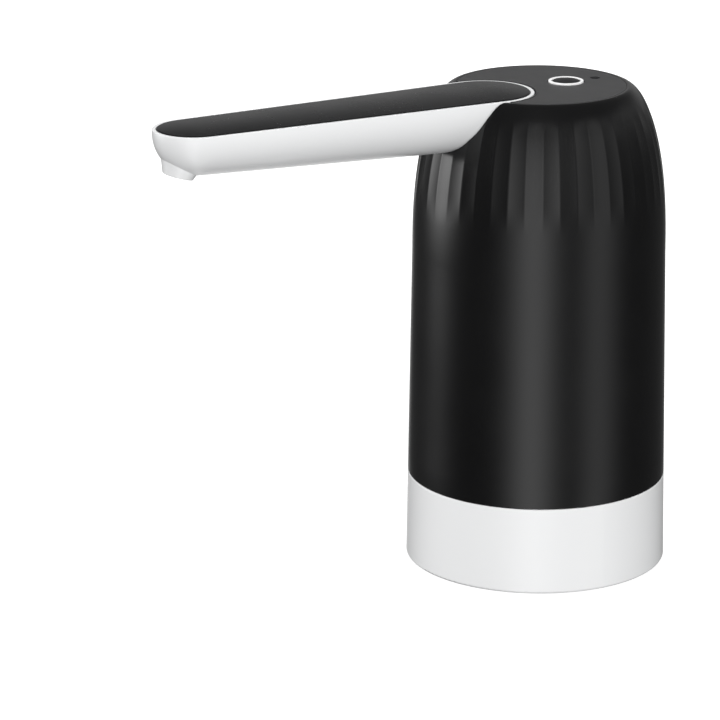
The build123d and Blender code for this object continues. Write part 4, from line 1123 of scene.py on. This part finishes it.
glow, glow_in, glow_out = new_group(
    "tent_panel",
    {"Direction": "Vector", "Sharpness": "Float", "Strength": "Float"},
    {"Glow": "Float"},
)
glow_place = put(glow, "ShaderNodeTexCoord").outputs["Object"]
glow_flat = steer(glow, "MULTIPLY", glow_place, (1.0, 1.0, 0.0))["Vector"]
glow_way = steer(glow, "NORMALIZE", glow_flat)["Vector"]
glow_near = steer(glow, "DOT_PRODUCT", glow_way, glow_in.outputs["Direction"])["Value"]
glow_away = reckon(glow, "SUBTRACT", glow_near, 1.0)
glow_scaled = reckon(glow, "MULTIPLY", glow_away, glow_in.outputs["Sharpness"])
glow_bell = reckon(glow, "EXPONENT", glow_scaled)
glow_strong = reckon(glow, "MULTIPLY", glow_bell, glow_in.outputs["Strength"])
glow.links.new(glow_strong, glow_out.inputs["Glow"])

tent_cloth = bpy.data.materials.new("tent_cloth")
tent_cloth.use_nodes = True
cloth = tent_cloth.node_tree
cloth.nodes.clear()
cloth_place = put(cloth, "ShaderNodeTexCoord").outputs["Object"]
cloth_axes = put(cloth, "ShaderNodeSeparateXYZ", Vector=cloth_place).outputs
cloth_flat = put(cloth, "ShaderNodeCombineXYZ", X=cloth_axes["X"], Y=cloth_axes["Y"]).outputs[0]
cloth_reach = steer(cloth, "LENGTH", cloth_flat)["Value"]
cloth_height = reckon(cloth, "SUBTRACT", cloth_axes["Z"], part_middle[2])
cloth_rise = reckon(cloth, "ARCTAN2", cloth_height, cloth_reach)


def by_rise(low, high, at_low, at_high):
    """A strength that goes smoothly from one value to another between two rises, in degrees."""
    return put(
        cloth,
        "ShaderNodeMapRange",
        {"interpolation_type": "SMOOTHSTEP"},
        Value=cloth_rise,
        From_Min=radians(low),
        From_Max=radians(high),
        To_Min=at_low,
        To_Max=at_high,
    ).outputs["Result"]


def tent_panel(turn, width, strength):
    """The glow of a soft upright panel at a turn to the right of the camera's, in degrees: e to the
    power of the angle's cosine less one, over the width squared, times the strength."""
    return put(
        cloth,
        "ShaderNodeGroup",
        {"node_tree": glow},
        Direction=towards(turn),
        Sharpness=radians(width) ** -2,
        Strength=strength,
    ).outputs["Glow"]


cloth_glow = by_rise(-4, 30, 0.07, 0.13)
for cloth_panel in (
    tent_panel(turn=-7, width=14, strength=by_rise(0, 55, 1.45, 0.05)),
    tent_panel(turn=53, width=13, strength=by_rise(22, 48, 0.68, 0.0)),
    tent_panel(turn=-102, width=11, strength=by_rise(-16.5, -2.5, 0.15, by_rise(6, 26, 3.5, 0.0))),
    tent_panel(turn=100, width=16, strength=by_rise(9, 20, 0.0, by_rise(24, 40, 0.25, 0.0))),
    tent_panel(turn=180, width=38, strength=by_rise(-3, 3, 0.0, by_rise(12, 26, 0.28, 0.0))),
    tent_panel(turn=180, width=9, strength=by_rise(-12, -5, 1.0, 0.0)),
):
    cloth_glow = reckon(cloth, "ADD", cloth_glow, cloth_panel)
cloth_light = put(cloth, "ShaderNodeEmission", Strength=cloth_glow).outputs[0]
put(cloth, "ShaderNodeOutputMaterial", Surface=cloth_light)
tent_cloth.cycles.emission_sampling = "NONE"
coat(tent.data, tent_cloth)
tent.visible_camera = False
tent.visible_diffuse = False
tent.visible_transmission = False
tent.visible_shadow = False

fill_below = 0.46
fill_above = 0.22
fill_bend = 0.3
world = bpy.data.worlds.new("studio")
bpy.context.scene.world = world
world.use_nodes = True
world.cycles.sampling_method = "NONE"
sky = world.node_tree
sky_way = put(sky, "ShaderNodeTexCoord").outputs["Generated"]
sky_fill = put(
    sky,
    "ShaderNodeMapRange",
    Value=put(sky, "ShaderNodeSeparateXYZ", Vector=sky_way).outputs["Z"],
    From_Min=-fill_bend,
    From_Max=fill_bend,
    To_Min=fill_below,
    To_Max=fill_above,
)
sky_light = put(
    sky,
    "ShaderNodeMapRange",
    Value=put(sky, "ShaderNodeLightPath").outputs["Is Camera Ray"],
    To_Min=sky_fill.outputs["Result"],
    To_Max=1.0,
)
feed(sky, sky.nodes["Background"].inputs["Color"], (1.0, 1.0, 1.0, 1.0))
feed(sky, sky.nodes["Background"].inputs["Strength"], sky_light.outputs["Result"])
bpy.context.scene.view_settings.view_transform = "Standard"
